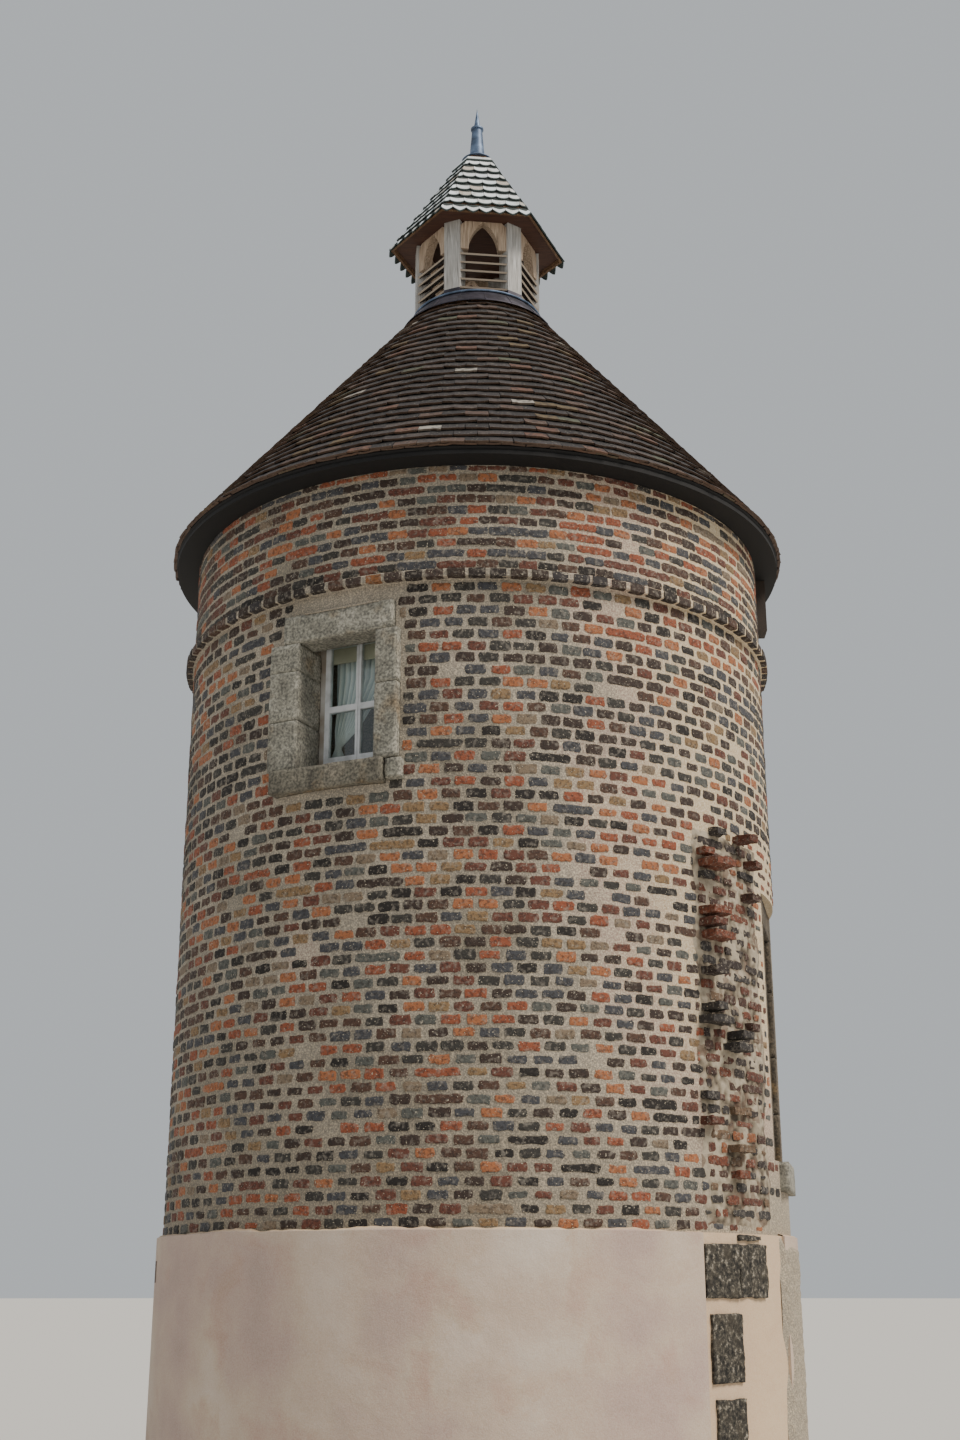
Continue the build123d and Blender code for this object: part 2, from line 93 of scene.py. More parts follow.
def new_material(name, roughness):
    """Material with its node tree, its shader's inputs and a position in metres."""
    material = bpy.data.materials.new(name)
    material.use_nodes = True
    tree = material.node_tree
    shader = tree.nodes["Principled BSDF"].inputs
    shader["Roughness"].default_value = roughness
    return material, tree, shader, add_node(tree, "TexCoord", output="Object")


def build_mesh(name, points, faces, material, smooth=False):
    """Object with a new mesh at the origin, in metres."""
    mesh = bpy.data.meshes.new(name)
    mesh.from_pydata([tuple(p) for p in points], [], faces)
    mesh.materials.append(material)
    if smooth:
        mesh.shade_smooth()
    piece = bpy.data.objects.new(name, mesh)
    bpy.context.scene.collection.objects.link(piece)
    return piece


floor_card, tree, shader, place = new_material("matt pale card", 0.9)
shader["Base Color"].default_value = linear("#CDCAC4")
floor_radius, floor_corners = 400.0, 64
floor_points = []
for k in range(floor_corners):
    turn = 2 * math.pi * k / floor_corners
    floor_points.append((floor_radius * math.cos(turn), floor_radius * math.sin(turn), 0.0))
build_mesh("studio_floor", floor_points, [range(floor_corners)], floor_card)

sky = bpy.context.scene.world or bpy.data.worlds.new("soft white sky")
bpy.context.scene.world = sky
sky.use_nodes = True
sky.node_tree.nodes["Background"].inputs["Color"].default_value = linear("#E9EEF2")
sky.node_tree.nodes["Background"].inputs["Strength"].default_value = 0.62

sun_azimuth, sun_height = 62.0, 50.0
sun = bpy.data.objects.new("soft_sun", bpy.data.lights.new("soft_sun", "SUN"))
sun.data.energy = 3.6
sun.data.angle = math.radians(24)
sun.data.color = linear("#FFF6EA")[:3]
sun.rotation_euler = (math.radians(90 - sun_height), 0.0, math.radians(sun_azimuth))
bpy.context.scene.collection.objects.link(sun)


# Floors: stone flags on the ground, and two decks of wide planks on sawn joists. The planks
# are nailed across the joists, whose ends are let into the wall.

def dress(material, *names):
    """Give CAD nodes a finish."""
    for name in names:
        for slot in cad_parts[name].material_slots:
            slot.material = material


def timber(name, dark, middle, light, grain_scale, roughness=0.75):
    """Sawn timber. grain_scale is in cycles a metre by axis, and is least along the grain."""
    material, tree, shader, place = new_material(name, roughness)
    along = add_node(tree, "Mapping", {"Vector": place, "Scale": grain_scale})
    grain = add_node(tree, "TexNoise", {"Vector": along, "Scale": 1.0, "Detail": 4.0})
    weather = add_node(tree, "TexNoise", {"Vector": place, "Scale": 8.0, "Detail": 3.0})
    fibres = add_node(tree, "ValToRGB", {"Fac": grain}, stops=((0.3, dark), (0.5, middle), (0.7, light)))
    worn = add_node(tree, "MapRange", {"Value": weather, "From Min": 0.4, "From Max": 0.7, "To Max": 0.6})
    colour = add_node(tree, "Mix", {"Factor": worn, "A": fibres, "B": middle}, data_type="RGBA")
    tree.links.new(colour, shader["Base Color"])
    tree.links.new(add_node(tree, "Bump", {"Height": grain, "Distance": 0.002}), shader["Normal"])
    return material


# Grain lines are really 1 to 2 mm apart, and are drawn 6 mm apart so that they show.
along_x, along_y, along_z = (6.0, 160.0, 160.0), (160.0, 6.0, 160.0), (160.0, 160.0, 6.0)
dress(timber("oak, pit sawn", "#4A3626", "#6B5038", "#84684A", along_y),
      "first_floor_joists", "upper_floor_joists", "wall_plate", "lantern_curb", "lantern_top_plate",
      "lantern_boards")

floor_planks = timber("pine planks, scrubbed", "#5A3F2A", "#7C5A3C", "#957250", along_x, 0.55)
tree = floor_planks.node_tree
plank_width = 0.18
shader = tree.nodes["Principled BSDF"].inputs
across = add_node(tree, "SeparateXYZ", {"Vector": add_node(tree, "TexCoord", output="Object")}, output="Y")
in_plank = add_node(tree, "Math", {0: across, 1: plank_width, 2: 0.0}, operation="WRAP")
seam = add_node(tree, "MapRange", {"Value": in_plank, "From Max": 0.006})
planks = shader["Base Color"].links[0].from_socket
tree.links.new(add_node(tree, "Mix", {"Factor": seam, "A": "#1E150E", "B": planks}, data_type="RGBA"),
               shader["Base Color"])
dress(floor_planks, "first_floor_boards", "upper_floor_boards")

flagstone, tree, shader, place = new_material("limestone flags, walked smooth", 0.6)
flags = add_node(tree, "TexVoronoi", {"Vector": place, "Scale": 1.8}, feature="DISTANCE_TO_EDGE")
cloud = add_node(tree, "TexNoise", {"Vector": place, "Scale": 3.0, "Detail": 6.0})
stone = add_node(tree, "ValToRGB", {"Fac": cloud}, stops=((0.3, "#6F6A60"), (0.7, "#8D877B")))
joint = add_node(tree, "MapRange", {"Value": flags, "From Min": 0.005, "From Max": 0.02})
tree.links.new(add_node(tree, "Mix", {"Factor": joint, "A": "#4B463E", "B": stone}, data_type="RGBA"),
               shader["Base Color"])
tree.links.new(add_node(tree, "Bump", {"Height": joint, "Distance": 0.006}), shader["Normal"])
dress(flagstone, "ground_floor")


# Rendered base: pinkish lime render over the masonry, floated smooth, with a torn upper lip
# where it dies on the first brick course. Damp has left ochre clouds on it, and the foot is dirty.
# In the strip under the broken wall an older, creamier coat shows.

wall_radius, base_radius, room_radius = 2.2, 2.244, 1.75
base_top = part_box("base_wall_left")[1].z

lime_render, tree, shader, place = new_material("lime render, wood floated", 0.9)
cloud = add_node(tree, "TexNoise", {"Vector": place, "Scale": 1.4, "Detail": 5.0})
ground = add_node(tree, "ValToRGB", {"Fac": cloud}, stops=((0.3, "#C6B7AD"), (0.5, "#D2C5BB"), (0.7, "#DCD2C9")))
stain = add_node(tree, "TexNoise", {"Vector": place, "Scale": 2.9, "Detail": 5.0, "Distortion": 0.6})
damp = add_node(tree, "MapRange", {"Value": stain, "From Min": 0.56, "From Max": 0.74, "To Max": 0.5})
stained = add_node(tree, "Mix", {"Factor": damp, "A": ground, "B": "#C4AC94"}, data_type="RGBA")
height = add_node(tree, "SeparateXYZ", {"Vector": place}, output="Z")
foot = add_node(tree, "MapRange", {"Value": height, "From Min": 0.6, "From Max": 0.0, "To Max": 0.7})
newer = add_node(tree, "Mix", {"Factor": foot, "A": stained, "B": "#9B8A76"}, data_type="RGBA")
level = add_node(tree, "Mapping", {"Vector": place, "Scale": (1.0, 1.0, 0.0)})
reach = add_node(tree, "VectorMath", {0: level}, output="Value", operation="LENGTH")
coat = add_node(tree, "MapRange", {"Value": reach, "From Min": 2.226, "From Max": 2.236})
older = add_node(tree, "Mix", {"Factor": 0.6, "A": newer, "B": "#E2CDAF"}, data_type="RGBA")
dirty = add_node(tree, "Mix", {"Factor": coat, "A": older, "B": newer}, data_type="RGBA")
sand = add_node(tree, "TexNoise", {"Vector": place, "Scale": 120.0, "Detail": 3.0})
grain = add_node(tree, "ValToRGB", {"Fac": sand}, stops=((0.3, "#6E6054"), (0.7, "#9A9A94")))
tree.links.new(add_node(tree, "Mix", {"Factor": 0.5, "A": dirty, "B": grain},
                        data_type="RGBA", blend_type="OVERLAY"), shader["Base Color"])
trowel = add_node(tree, "TexNoise", {"Vector": place, "Scale": 8.0, "Detail": 3.0})
waves = add_node(tree, "Bump", {"Height": trowel, "Distance": 0.008})
tree.links.new(add_node(tree, "Bump", {"Height": sand, "Distance": 0.0015, "Normal": waves}), shader["Normal"])
dress(lime_render, "base_wall_front", "base_wall_right", "base_wall_left")


def turned(point, azimuth):
    """A point drawn at the front, turned about Z to its azimuth."""
    turn = math.radians(azimuth)
    x, y, z = point
    return Vector((x * math.cos(turn) - y * math.sin(turn), x * math.sin(turn) + y * math.cos(turn), z))


def on_wall(radius, azimuth, height):
    """Point at a radius, an azimuth and a height."""
    return turned((0.0, -radius, height), azimuth)


def strip_faces(rows, count, closed=False):
    """Faces between rows of count points each."""
    ends = count if closed else count - 1
    return [(count * row + j, count * (row + 1) + j, count * (row + 1) + (j + 1) % count,
             count * row + (j + 1) % count) for row in range(rows - 1) for j in range(ends)]


scar_start, scar_end = 38.2, 64.2
lip_points = []
lip_rows = 445
for k in range(lip_rows):
    azimuth = scar_end + (360 - scar_end + scar_start) * k / (lip_rows - 1)
    spot = on_wall(wall_radius, azimuth, 0.0)
    tear = noise.noise(spot * 3.0) * 0.014 + noise.noise(spot * 11.0) * 0.008
    bulge = noise.noise(spot * 7.0) * 0.003
    lip_points += [
        on_wall(base_radius, azimuth, base_top - 0.020),
        on_wall(base_radius - 0.004 + bulge, azimuth, base_top - 0.002 + tear * 0.5),
        on_wall(base_radius - 0.016, azimuth, base_top + 0.008 + tear),
        on_wall(wall_radius + 0.004, azimuth, base_top + 0.014 + tear * 1.4),
        on_wall(wall_radius - 0.010, azimuth, base_top + 0.012 + tear * 1.4),
        on_wall(wall_radius - 0.010, azimuth, base_top - 0.020),
    ]
render_lip = build_mesh("render_lip", lip_points, strip_faces(lip_rows, 6), lime_render, smooth=True)
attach(render_lip, "root")


# Brickwork: old hand-made bricks laid as headers, with a stretcher here and there, in wide
# joints of coarse lime mortar. The mortar is rubbed nearly flush and smeared on the edges.

course_height = 0.0798
low_courses, high_courses = 33, 18
scar_top = base_top + low_courses * course_height
band_bottom = base_top + 52 * course_height
high_course = (band_bottom - scar_top) / high_courses
band_top = band_bottom + course_height
wall_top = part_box("wall_head")[1].z
bed_joint = 0.022
header_width = 0.135

lime_mortar, tree, shader, place = new_material("coarse lime mortar, rubbed flush", 0.95)
cloud = add_node(tree, "TexNoise", {"Vector": place, "Scale": 2.0, "Detail": 6.0})
tone = add_node(tree, "ValToRGB", {"Fac": cloud}, stops=((0.28, "#958D7E"), (0.48, "#AEA596"), (0.7, "#C2B8A8")))
# Painted light: the mortar is paler towards the right (+X), the side that the sun lights.
side = add_node(tree, "SeparateXYZ", {"Vector": place}, output="X")
sunlit_side = add_node(tree, "MapRange", {"Value": side, "From Min": 0.2, "From Max": 1.5})
bleached = add_node(tree, "Mix", {"Factor": sunlit_side, "A": tone, "B": "#D8CCB9"}, data_type="RGBA")
height = add_node(tree, "SeparateXYZ", {"Vector": place}, output="Z")
low_down = add_node(tree, "MapRange", {"Value": height, "From Min": 3.4, "From Max": 2.1, "To Max": 0.45})
warm = add_node(tree, "Mix", {"Factor": low_down, "A": bleached, "B": "#857A68"}, data_type="RGBA")
# Real grit is 3 mm across, and is drawn 10 mm across so that it shows.
grit = add_node(tree, "TexNoise", {"Vector": place, "Scale": 95.0, "Detail": 3.0})
grains = add_node(tree, "ValToRGB", {"Fac": grit}, stops=((0.3, "#3C362C"), (0.5, "#808080"), (0.7, "#D8D0C0")))
tree.links.new(add_node(tree, "Mix", {"Factor": 0.6, "A": warm, "B": grains},
                        data_type="RGBA", blend_type="OVERLAY"), shader["Base Color"])
lumps = add_node(tree, "TexNoise", {"Vector": place, "Scale": 30.0, "Detail": 4.0})
rough = add_node(tree, "Bump", {"Height": lumps, "Distance": 0.007})
tree.links.new(add_node(tree, "Bump", {"Height": grit, "Distance": 0.004, "Normal": rough}), shader["Normal"])
dress(lime_mortar, "lower_wall_front", "lower_wall_right", "lower_wall_left",
      "upper_wall_front", "upper_wall_right", "upper_wall_left", "wall_head")


def fired_clay(name, *tones):
    """Brick of several firings, one to each piece, with burnt mottles and with mortar on its edges."""
    material, tree, shader, place = new_material(name, 0.85)
    firing = add_node(tree, "Attribute", attribute_name="tone", output="Fac")
    fired = add_node(tree, "ValToRGB", {"Fac": firing}, stops=tones)
    fired.node.color_ramp.interpolation = "CONSTANT"
    mottle = add_node(tree, "TexNoise", {"Vector": place, "Scale": 48.0, "Detail": 5.0, "Roughness": 0.65})
    spots = add_node(tree, "MapRange", {"Value": mottle, "From Min": 0.49, "From Max": 0.60, "To Max": 0.6})
    burnt = add_node(tree, "Mix", {"Factor": spots, "A": fired, "B": "#241E1B"}, data_type="RGBA")
    bloom = add_node(tree, "TexNoise", {"Vector": place, "Scale": 34.0, "Detail": 2.0})
    pale = add_node(tree, "MapRange", {"Value": bloom, "From Min": 0.52, "From Max": 0.72, "To Max": 0.42})
    chalky = add_node(tree, "Mix", {"Factor": pale, "A": burnt, "B": "#9C9488"}, data_type="RGBA")
    crumbs = add_node(tree, "TexNoise", {"Vector": place, "Scale": 105.0, "Detail": 3.0})
    middle = add_node(tree, "Attribute", attribute_name="middle", output="Fac")
    smears = add_node(tree, "TexNoise", {"Vector": place, "Scale": 55.0, "Detail": 6.0, "Roughness": 0.7})
    ragged = add_node(tree, "Math", {0: smears, 1: 2.1, 2: -1.1}, operation="MULTIPLY_ADD")
    edge = add_node(tree, "Math", {0: ragged, 1: middle}, operation="SUBTRACT")
    smear = add_node(tree, "MapRange", {"Value": edge, "From Min": -0.08, "From Max": 0.02})
    limed = add_node(tree, "Mix", {"Factor": smear, "A": chalky, "B": "#A39A87"}, data_type="RGBA")
    specks = add_node(tree, "TexNoise", {"Vector": place, "Scale": 88.0, "Detail": 2.0})
    fleck = add_node(tree, "MapRange", {"Value": specks, "From Min": 0.66, "From Max": 0.71})
    tree.links.new(add_node(tree, "Mix", {"Factor": fleck, "A": limed, "B": "#B4AA97"}, data_type="RGBA"),
                   shader["Base Color"])
    pits = add_node(tree, "Bump", {"Height": mottle, "Distance": 0.004})
    tree.links.new(add_node(tree, "Bump", {"Height": crumbs, "Distance": 0.0025, "Normal": pits}), shader["Normal"])
    return material


old_brick = fired_clay(
    "hand-made brick, wood fired", (0.0, "#211D1A"), (0.10, "#35332F"), (0.22, "#424347"), (0.34, "#535550"),
    (0.42, "#382B24"), (0.54, "#4F382C"), (0.64, "#633A2D"), (0.74, "#8C4C32"), (0.83, "#A06440"), (0.91, "#866C4C"),
    (0.96, "#7B6B58"))


class Pile:
    """Many small pieces gathered into one mesh, with a tone for each and a middle mark for its points."""

    def __init__(self):
        self.points, self.faces, self.tones, self.middles = [], [], [], []

    def add(self, points, faces, tone=0.0, middles=None):
        start = len(self.points)
        self.points += points
        self.faces += [tuple(start + k for k in face) for face in faces]
        self.tones += [tone] * len(points)
        self.middles += middles or [1.0] * len(points)

    def make(self, name, material, smooth=False):
        """Build the mesh, keep its tones and let it ride on the tower."""
        piece = build_mesh(name, self.points, self.faces, material, smooth)
        for attribute, numbers in (("tone", self.tones), ("middle", self.middles)):
            layer = piece.data.attributes.new(attribute, "FLOAT", "POINT")
            layer.data.foreach_set("value", numbers)
        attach(piece, "root")
        return piece


chance = random.Random(7532)


def ragged_outline(width, height, wobble):
    """Outline of a worn brick face about its centre: cut corners, and every point a little off."""
    steps = max(2, round(width / 0.036))
    across = [width * (k / steps - 0.5) * 0.88 for k in range(steps + 1)]
    side, top = width / 2, height / 2
    outline = [(-side, -top * 0.5)] + [(x, -top) for x in across] + [(side, -top * 0.5)]
    outline += [(side, top * 0.5)] + [(x, top) for x in reversed(across)] + [(-side, top * 0.5)]
    return [(x + chance.uniform(-wobble, wobble), z + chance.uniform(-wobble, wobble)) for x, z in outline]


def lay_brick(pile, radius, azimuth, low, width, height, proud, tone):
    """Brick face that stands proud of a round wall, from a rim sunk in the mortar to a worn middle."""
    outline = ragged_outline(width, height, 0.005)
    count = len(outline)
    points, middles = [], []
    for out, inset, middle in ((-0.004, 0.0, 0.0), (proud * 0.5, 0.0, 0.12), (proud, 0.007, 0.45)):
        for x, z in outline:
            x -= math.copysign(min(inset, abs(x)), x)
            z -= math.copysign(min(inset, abs(z)), z)
            points.append(turned(on_wall(radius + out, math.degrees(x / radius), low + height / 2 + z), azimuth))
            middles.append(middle)
    points.append(on_wall(radius + proud + 0.0008, azimuth, low + height / 2))
    middles.append(1.0)
    faces = strip_faces(3, count, closed=True)
    faces += [(2 * count + k, 2 * count + (k + 1) % count, 3 * count) for k in range(count)]
    pile.add(points, [face[::-1] for face in faces[:2 * count]] + faces[2 * count:], tone, middles)


class Opening:
    """Part of the wall that bricks stay out of, from azimuth to azimuth and height to height."""

    def __init__(self, start, end, bottom, top):
        self.start, self.end, self.bottom, self.top = start, end, bottom, top


def reach_angle(width):
    """Degrees that a level width takes on the wall."""
    return math.degrees(math.asin(width / wall_radius))


def free_spans(openings, bottom, top):
    """Azimuth spans of a course that no opening takes, all the way round."""
    taken = sorted((o.start, o.end) for o in openings if o.bottom < top and o.top > bottom)
    if not taken:
        return [(-180.0, 180.0)]
    spans, reached = [], taken[0][1]
    for start, end in taken[1:]:
        if start > reached:
            spans.append((reached, start))
        reached = max(reached, end)
    return spans + [(reached, taken[0][0] + 360)]


def hidden_share(azimuth, height):
    """Share of a brick that mortar hides. It is more on the right, where the joints were pointed fully."""
    patch = noise.noise(on_wall(2.0, azimuth, height * 0.9)) * 0.16
    patch += max(0.0, base_top + 0.6 - height) * 0.2
    right_side = max(0.0, math.sin(math.radians(azimuth))) ** 2 * 0.12
    scar = 0.25 if 41 < azimuth < 62 and height < scar_top else 0.0
    if 57 < azimuth < 100 and height < 4.7:
        scar = 0.54 if height < 2.7 else 0.36
    return min(0.7, max(0.0, patch + right_side + scar + chance.uniform(-0.08, 0.1)))


def lay_course(pile, radius, low, height, pitch, shift, openings, stretchers, pick_tone=None):
    """Headers on an even pitch round the wall, cut to fit beside the openings."""
    step = 360 / round(2 * math.pi * radius / pitch)
    joint = step * (1 - header_width / pitch)
    for start, end in free_spans(openings, low, low + height):
        if end - start > 359.9:
            start, end = start + shift * step, end + shift * step
        cell = math.floor(start / step - shift + 0.001)
        while (cell + shift) * step + joint < end:
            cells = 2 if chance.random() < stretchers else 1
            left = max((cell + shift) * step + joint / 2, start + joint * 0.4)
            right = min((cell + shift + cells) * step - joint / 2, end - joint * 0.4)
            cell += cells
            hidden = hidden_share((left + right) / 2, low)
            width = math.radians(right - left) * radius * chance.uniform(0.92, 1.06) * (1 - hidden * 0.8)
            if width < 0.04 or hidden > 0.6 or chance.random() < 0.01:
                continue
            tall = height * chance.uniform(0.9, 1.1) * (1 - hidden)
            lay_brick(pile, radius, (left + right) / 2 + chance.uniform(-0.14, 0.14),
                      low + (height - tall) / 2 + chance.uniform(-0.003, 0.003), width, tall,
                      chance.uniform(0.0015, 0.007), pick_tone() if pick_tone else chance.random())


def solids_of(node):
    """Points of each separate solid of a CAD node."""
    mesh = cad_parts[node].data
    keys = [tuple(round(c, 4) for c in v.co) for v in mesh.vertices]
    leader = {key: key for key in keys}

    def find(key):
        while leader[key] != key:
            key = leader[key]
        return key

    for polygon in mesh.polygons:
        first = find(keys[polygon.vertices[0]])
        for index in polygon.vertices:
            leader[find(keys[index])] = first
    groups = {}
    for key in leader:
        groups.setdefault(find(key), []).append(Vector(key))
    return [groups[key] for key in sorted(groups)]


def drawn_box(points, azimuth):
    """Lowest and highest corner of points that are turned back to the front."""
    back = [turned(p, -azimuth) for p in points]
    return (Vector([min(p[k] for p in back) for k in range(3)]),
            Vector([max(p[k] for p in back) for k in range(3)]))


def azimuth_of(points):
    """Azimuth of the middle of some points."""
    middle = sum(points, Vector())
    return math.degrees(math.atan2(middle.x, -middle.y))


def opening_for(points, azimuth, margin):
    """Opening that a CAD solid takes from the brickwork."""
    low, high = drawn_box(points, azimuth)
    return Opening(azimuth + reach_angle(low.x - margin), azimuth + reach_angle(high.x + margin),
                   low.z - margin * 0.3, high.z + margin * 0.3)


front_azimuth, side_azimuth = -25.2, 77.0
openings = []
for window, azimuth in (("front_window", front_azimuth), ("side_window", side_azimuth)):
    for part in ("lintel", "sill", "jambs"):
        openings += [opening_for(solid, azimuth, 0.012) for solid in solids_of(f"{window}_{part}")]
    sill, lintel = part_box(f"{window}_sill"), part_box(f"{window}_lintel")
    openings.append(Opening(azimuth - 8, azimuth + 8, sill[0].z, lintel[1].z))
stubs = solids_of("toothing_bricks")
openings += [opening_for(stub, azimuth_of(stub), 0.004) for stub in stubs]
bracket = solids_of("eaves_bracket")[0]
openings.append(opening_for(bracket, azimuth_of(bracket), 0.01))
patch_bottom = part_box("front_window_lintel")[1].z
openings.append(Opening(front_azimuth - 9.4, front_azimuth + 11, patch_bottom, band_bottom))

brick_height = course_height - bed_joint
course_feet = [base_top + k * course_height for k in range(low_courses)]
course_feet += [scar_top + k * high_course for k in range(high_courses + 1)]
for name, courses in (("lower_bricks", range(29)), ("upper_bricks", range(29, len(course_feet) - 1))):
    pile = Pile()
    for k in courses:
        lay_course(pile, wall_radius, course_feet[k] + bed_joint / 2,
                   course_feet[k + 1] - course_feet[k] - bed_joint, 0.159,
                   (k % 2) * 0.5 + chance.uniform(-0.06, 0.06), openings, 0.03)
    pile.make(name, old_brick)


def dark_tone():
    """Mostly the over-fired bricks, which stand next to the band."""
    return chance.choice((0.05, 0.05, 0.15, 0.45, 0.45, 0.3, 0.58, 0.7))


def light_tone():
    """The paler firings, which were kept for the top of the wall."""
    return chance.uniform(0.16, 1.0)


head_pile = Pile()
for k in range(math.ceil((wall_top - band_top) / course_height)):
    low = band_top + k * course_height + bed_joint / 2
    lay_course(head_pile, wall_radius, low, min(brick_height, wall_top - low - 0.002), 0.1365,
               (k % 2) * 0.5 + chance.uniform(-0.06, 0.06), openings, 0.1, light_tone if k else dark_tone)
head_pile.make("head_bricks", old_brick)


# Band: one course of dark, hard-fired headers that stand 70 mm proud of the wall. Their joints
# are pale and set back, and a mortar fillet sheds the rain from their tops.

def worn_block(size, step, rounding, roughness):
    """Box about the origin with rounded edges and an uneven surface: its points and faces."""
    counts = [max(2, math.ceil(length / step)) for length in size]
    shift = Vector([chance.uniform(-90, 90) for _ in range(3)])
    rounding = min(rounding, min(size) / 2.2)
    index_of, points, faces = {}, [], []

    def corner(cell):
        if cell not in index_of:
            spot = Vector([s * (c / n - 0.5) for s, c, n in zip(size, cell, counts)])
            core = Vector([max(rounding - s / 2, min(s / 2 - rounding, x)) for s, x in zip(size, spot)])
            swell = noise.noise(spot * 9.0 + shift) * 1.5 + noise.noise(spot * 38.0 + shift) - 0.8
            index_of[cell] = len(points)
            points.append(core + (spot - core).normalized() * (rounding + swell * roughness))
        return index_of[cell]

    for axis in range(3):
        u, v = (axis + 1) % 3, (axis + 2) % 3
        for end in (0, counts[axis]):
            for i in range(counts[u]):
                for j in range(counts[v]):
                    loop = []
                    for side, up in ((0, 0), (1, 0), (1, 1), (0, 1)):
                        cell = [end] * 3
                        cell[u], cell[v] = i + side, j + up
                        loop.append(corner(tuple(cell)))
                    faces.append(loop if end else loop[::-1])
    return points, faces


def set_block(pile, low, high, azimuth, step, rounding, roughness, tone=None, lean=0.0, middle=0.6):
    """Worn block that fills a box drawn at the front, turned to its azimuth."""
    points, faces = worn_block(high - low, step, rounding, roughness)
    tilt = Matrix.Rotation(math.radians(lean), 3, "Y")
    placed = [turned((low + high) / 2 + tilt @ p, azimuth) for p in points]
    pile.add(placed, faces, chance.random() if tone is None else tone, [middle] * len(placed))


def turn_profile(name, profile, steps, material, uneven=0.0, closed=True, smooth=False):
    """Ring round the tower's axis from pairs of radius and height, uneven on its outer side."""
    points = []
    for k in range(steps + 1):
        azimuth = 360 * k / steps
        for radius, height in profile:
            swell = noise.noise(on_wall(radius, azimuth, height) * 14.0) * uneven
            points.append(on_wall(radius + (swell if radius > room_radius else 0.0), azimuth, height + swell))
    piece = build_mesh(name, points, strip_faces(steps + 1, len(profile), closed), material, smooth)
    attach(piece, "root")
    return piece


band_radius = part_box("string_course")[1].x
band_count = 100
band_brick = fired_clay(
    "over-fired header brick", (0.0, "#29211D"), (0.25, "#35281F"), (0.5, "#40322B"), (0.72, "#332F30"),
    (0.88, "#50372A"), (0.97, "#84552F"))
band_pile = Pile()
for k in range(band_count):
    half = math.pi * band_radius / band_count - 0.011 + chance.uniform(-0.003, 0.002)
    low = Vector((-half, chance.uniform(0.001, 0.009) - band_radius, band_bottom + 0.005))
    high = Vector((half, 0.01 - wall_radius, band_bottom + 0.005 + 0.064 * chance.uniform(0.93, 1.0)))
    set_block(band_pile, low, high, 360 * k / band_count + chance.uniform(-0.1, 0.1), 0.03, 0.007, 0.0025,
              middle=0.75)
band_headers = band_pile.make("band_headers", band_brick)
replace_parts(band_headers, "string_course")

turn_profile("band_mortar", (
    (room_radius, band_bottom), (wall_radius + 0.002, band_bottom), (wall_radius + 0.020, band_bottom + 0.010),
    (band_radius - 0.016, band_bottom + 0.011), (band_radius - 0.012, band_bottom + 0.020),
    (band_radius - 0.012, band_bottom + 0.058), (band_radius - 0.022, band_bottom + 0.070),
    (wall_radius + 0.004, band_top + 0.008), (wall_radius - 0.010, band_top), (room_radius, band_top),
), 360, lime_mortar, uneven=0.004)


# Toothing: broken stubs of the bricks of a wall that once met the tower. They are bonded into
# it, red and brown, with soot and old mortar on their beds.

stub_brick = fired_clay(
    "hand-made brick, broken", (0.0, "#2E2420"), (0.2, "#452C22"), (0.42, "#5A3224"), (0.6, "#6E3C28"),
    (0.72, "#855030"), (0.82, "#35312F"), (0.92, "#6B5540"))
stub_pile = Pile()
for stub in stubs:
    low, high = drawn_box(stub, azimuth_of(stub))
    high.y = 0.015 - wall_radius
    tone = chance.choice((0.1, 0.3, 0.3, 0.5, 0.5, 0.65, 0.65, 0.75, 0.85, 0.85, 0.95))
    set_block(stub_pile, low, high, azimuth_of(stub), 0.015, 0.007, 0.0065, tone, chance.uniform(-2, 2), 0.7)

old_core, tree, shader, place = new_material("broken masonry, lime and brick dust", 0.95)
swell = add_node(tree, "Attribute", attribute_name="middle", output="Fac")
lime = add_node(tree, "ValToRGB", {"Fac": swell}, stops=((0.15, "#574D41"), (0.38, "#857A68"), (0.7, "#AEA28E")))
chips = add_node(tree, "TexVoronoi", {"Vector": place, "Scale": 17.0}, output="Color")
chip = add_node(tree, "SeparateColor", {"Color": chips}, output="Red")
brick_chip = add_node(tree, "MapRange", {"Value": chip, "From Min": 0.84, "From Max": 0.86, "To Max": 0.5})
chipped = add_node(tree, "Mix", {"Factor": brick_chip, "A": lime, "B": "#5F4132"}, data_type="RGBA")
dirt = add_node(tree, "TexNoise", {"Vector": place, "Scale": 26.0, "Detail": 6.0, "Roughness": 0.65})
sooty = add_node(tree, "MapRange", {"Value": dirt, "From Min": 0.5, "From Max": 0.7, "To Max": 0.4})
tree.links.new(add_node(tree, "Mix", {"Factor": sooty, "A": chipped, "B": "#5A4E40"}, data_type="RGBA"),
               shader["Base Color"])
tree.links.new(add_node(tree, "Bump", {"Height": dirt, "Distance": 0.008}), shader["Normal"])


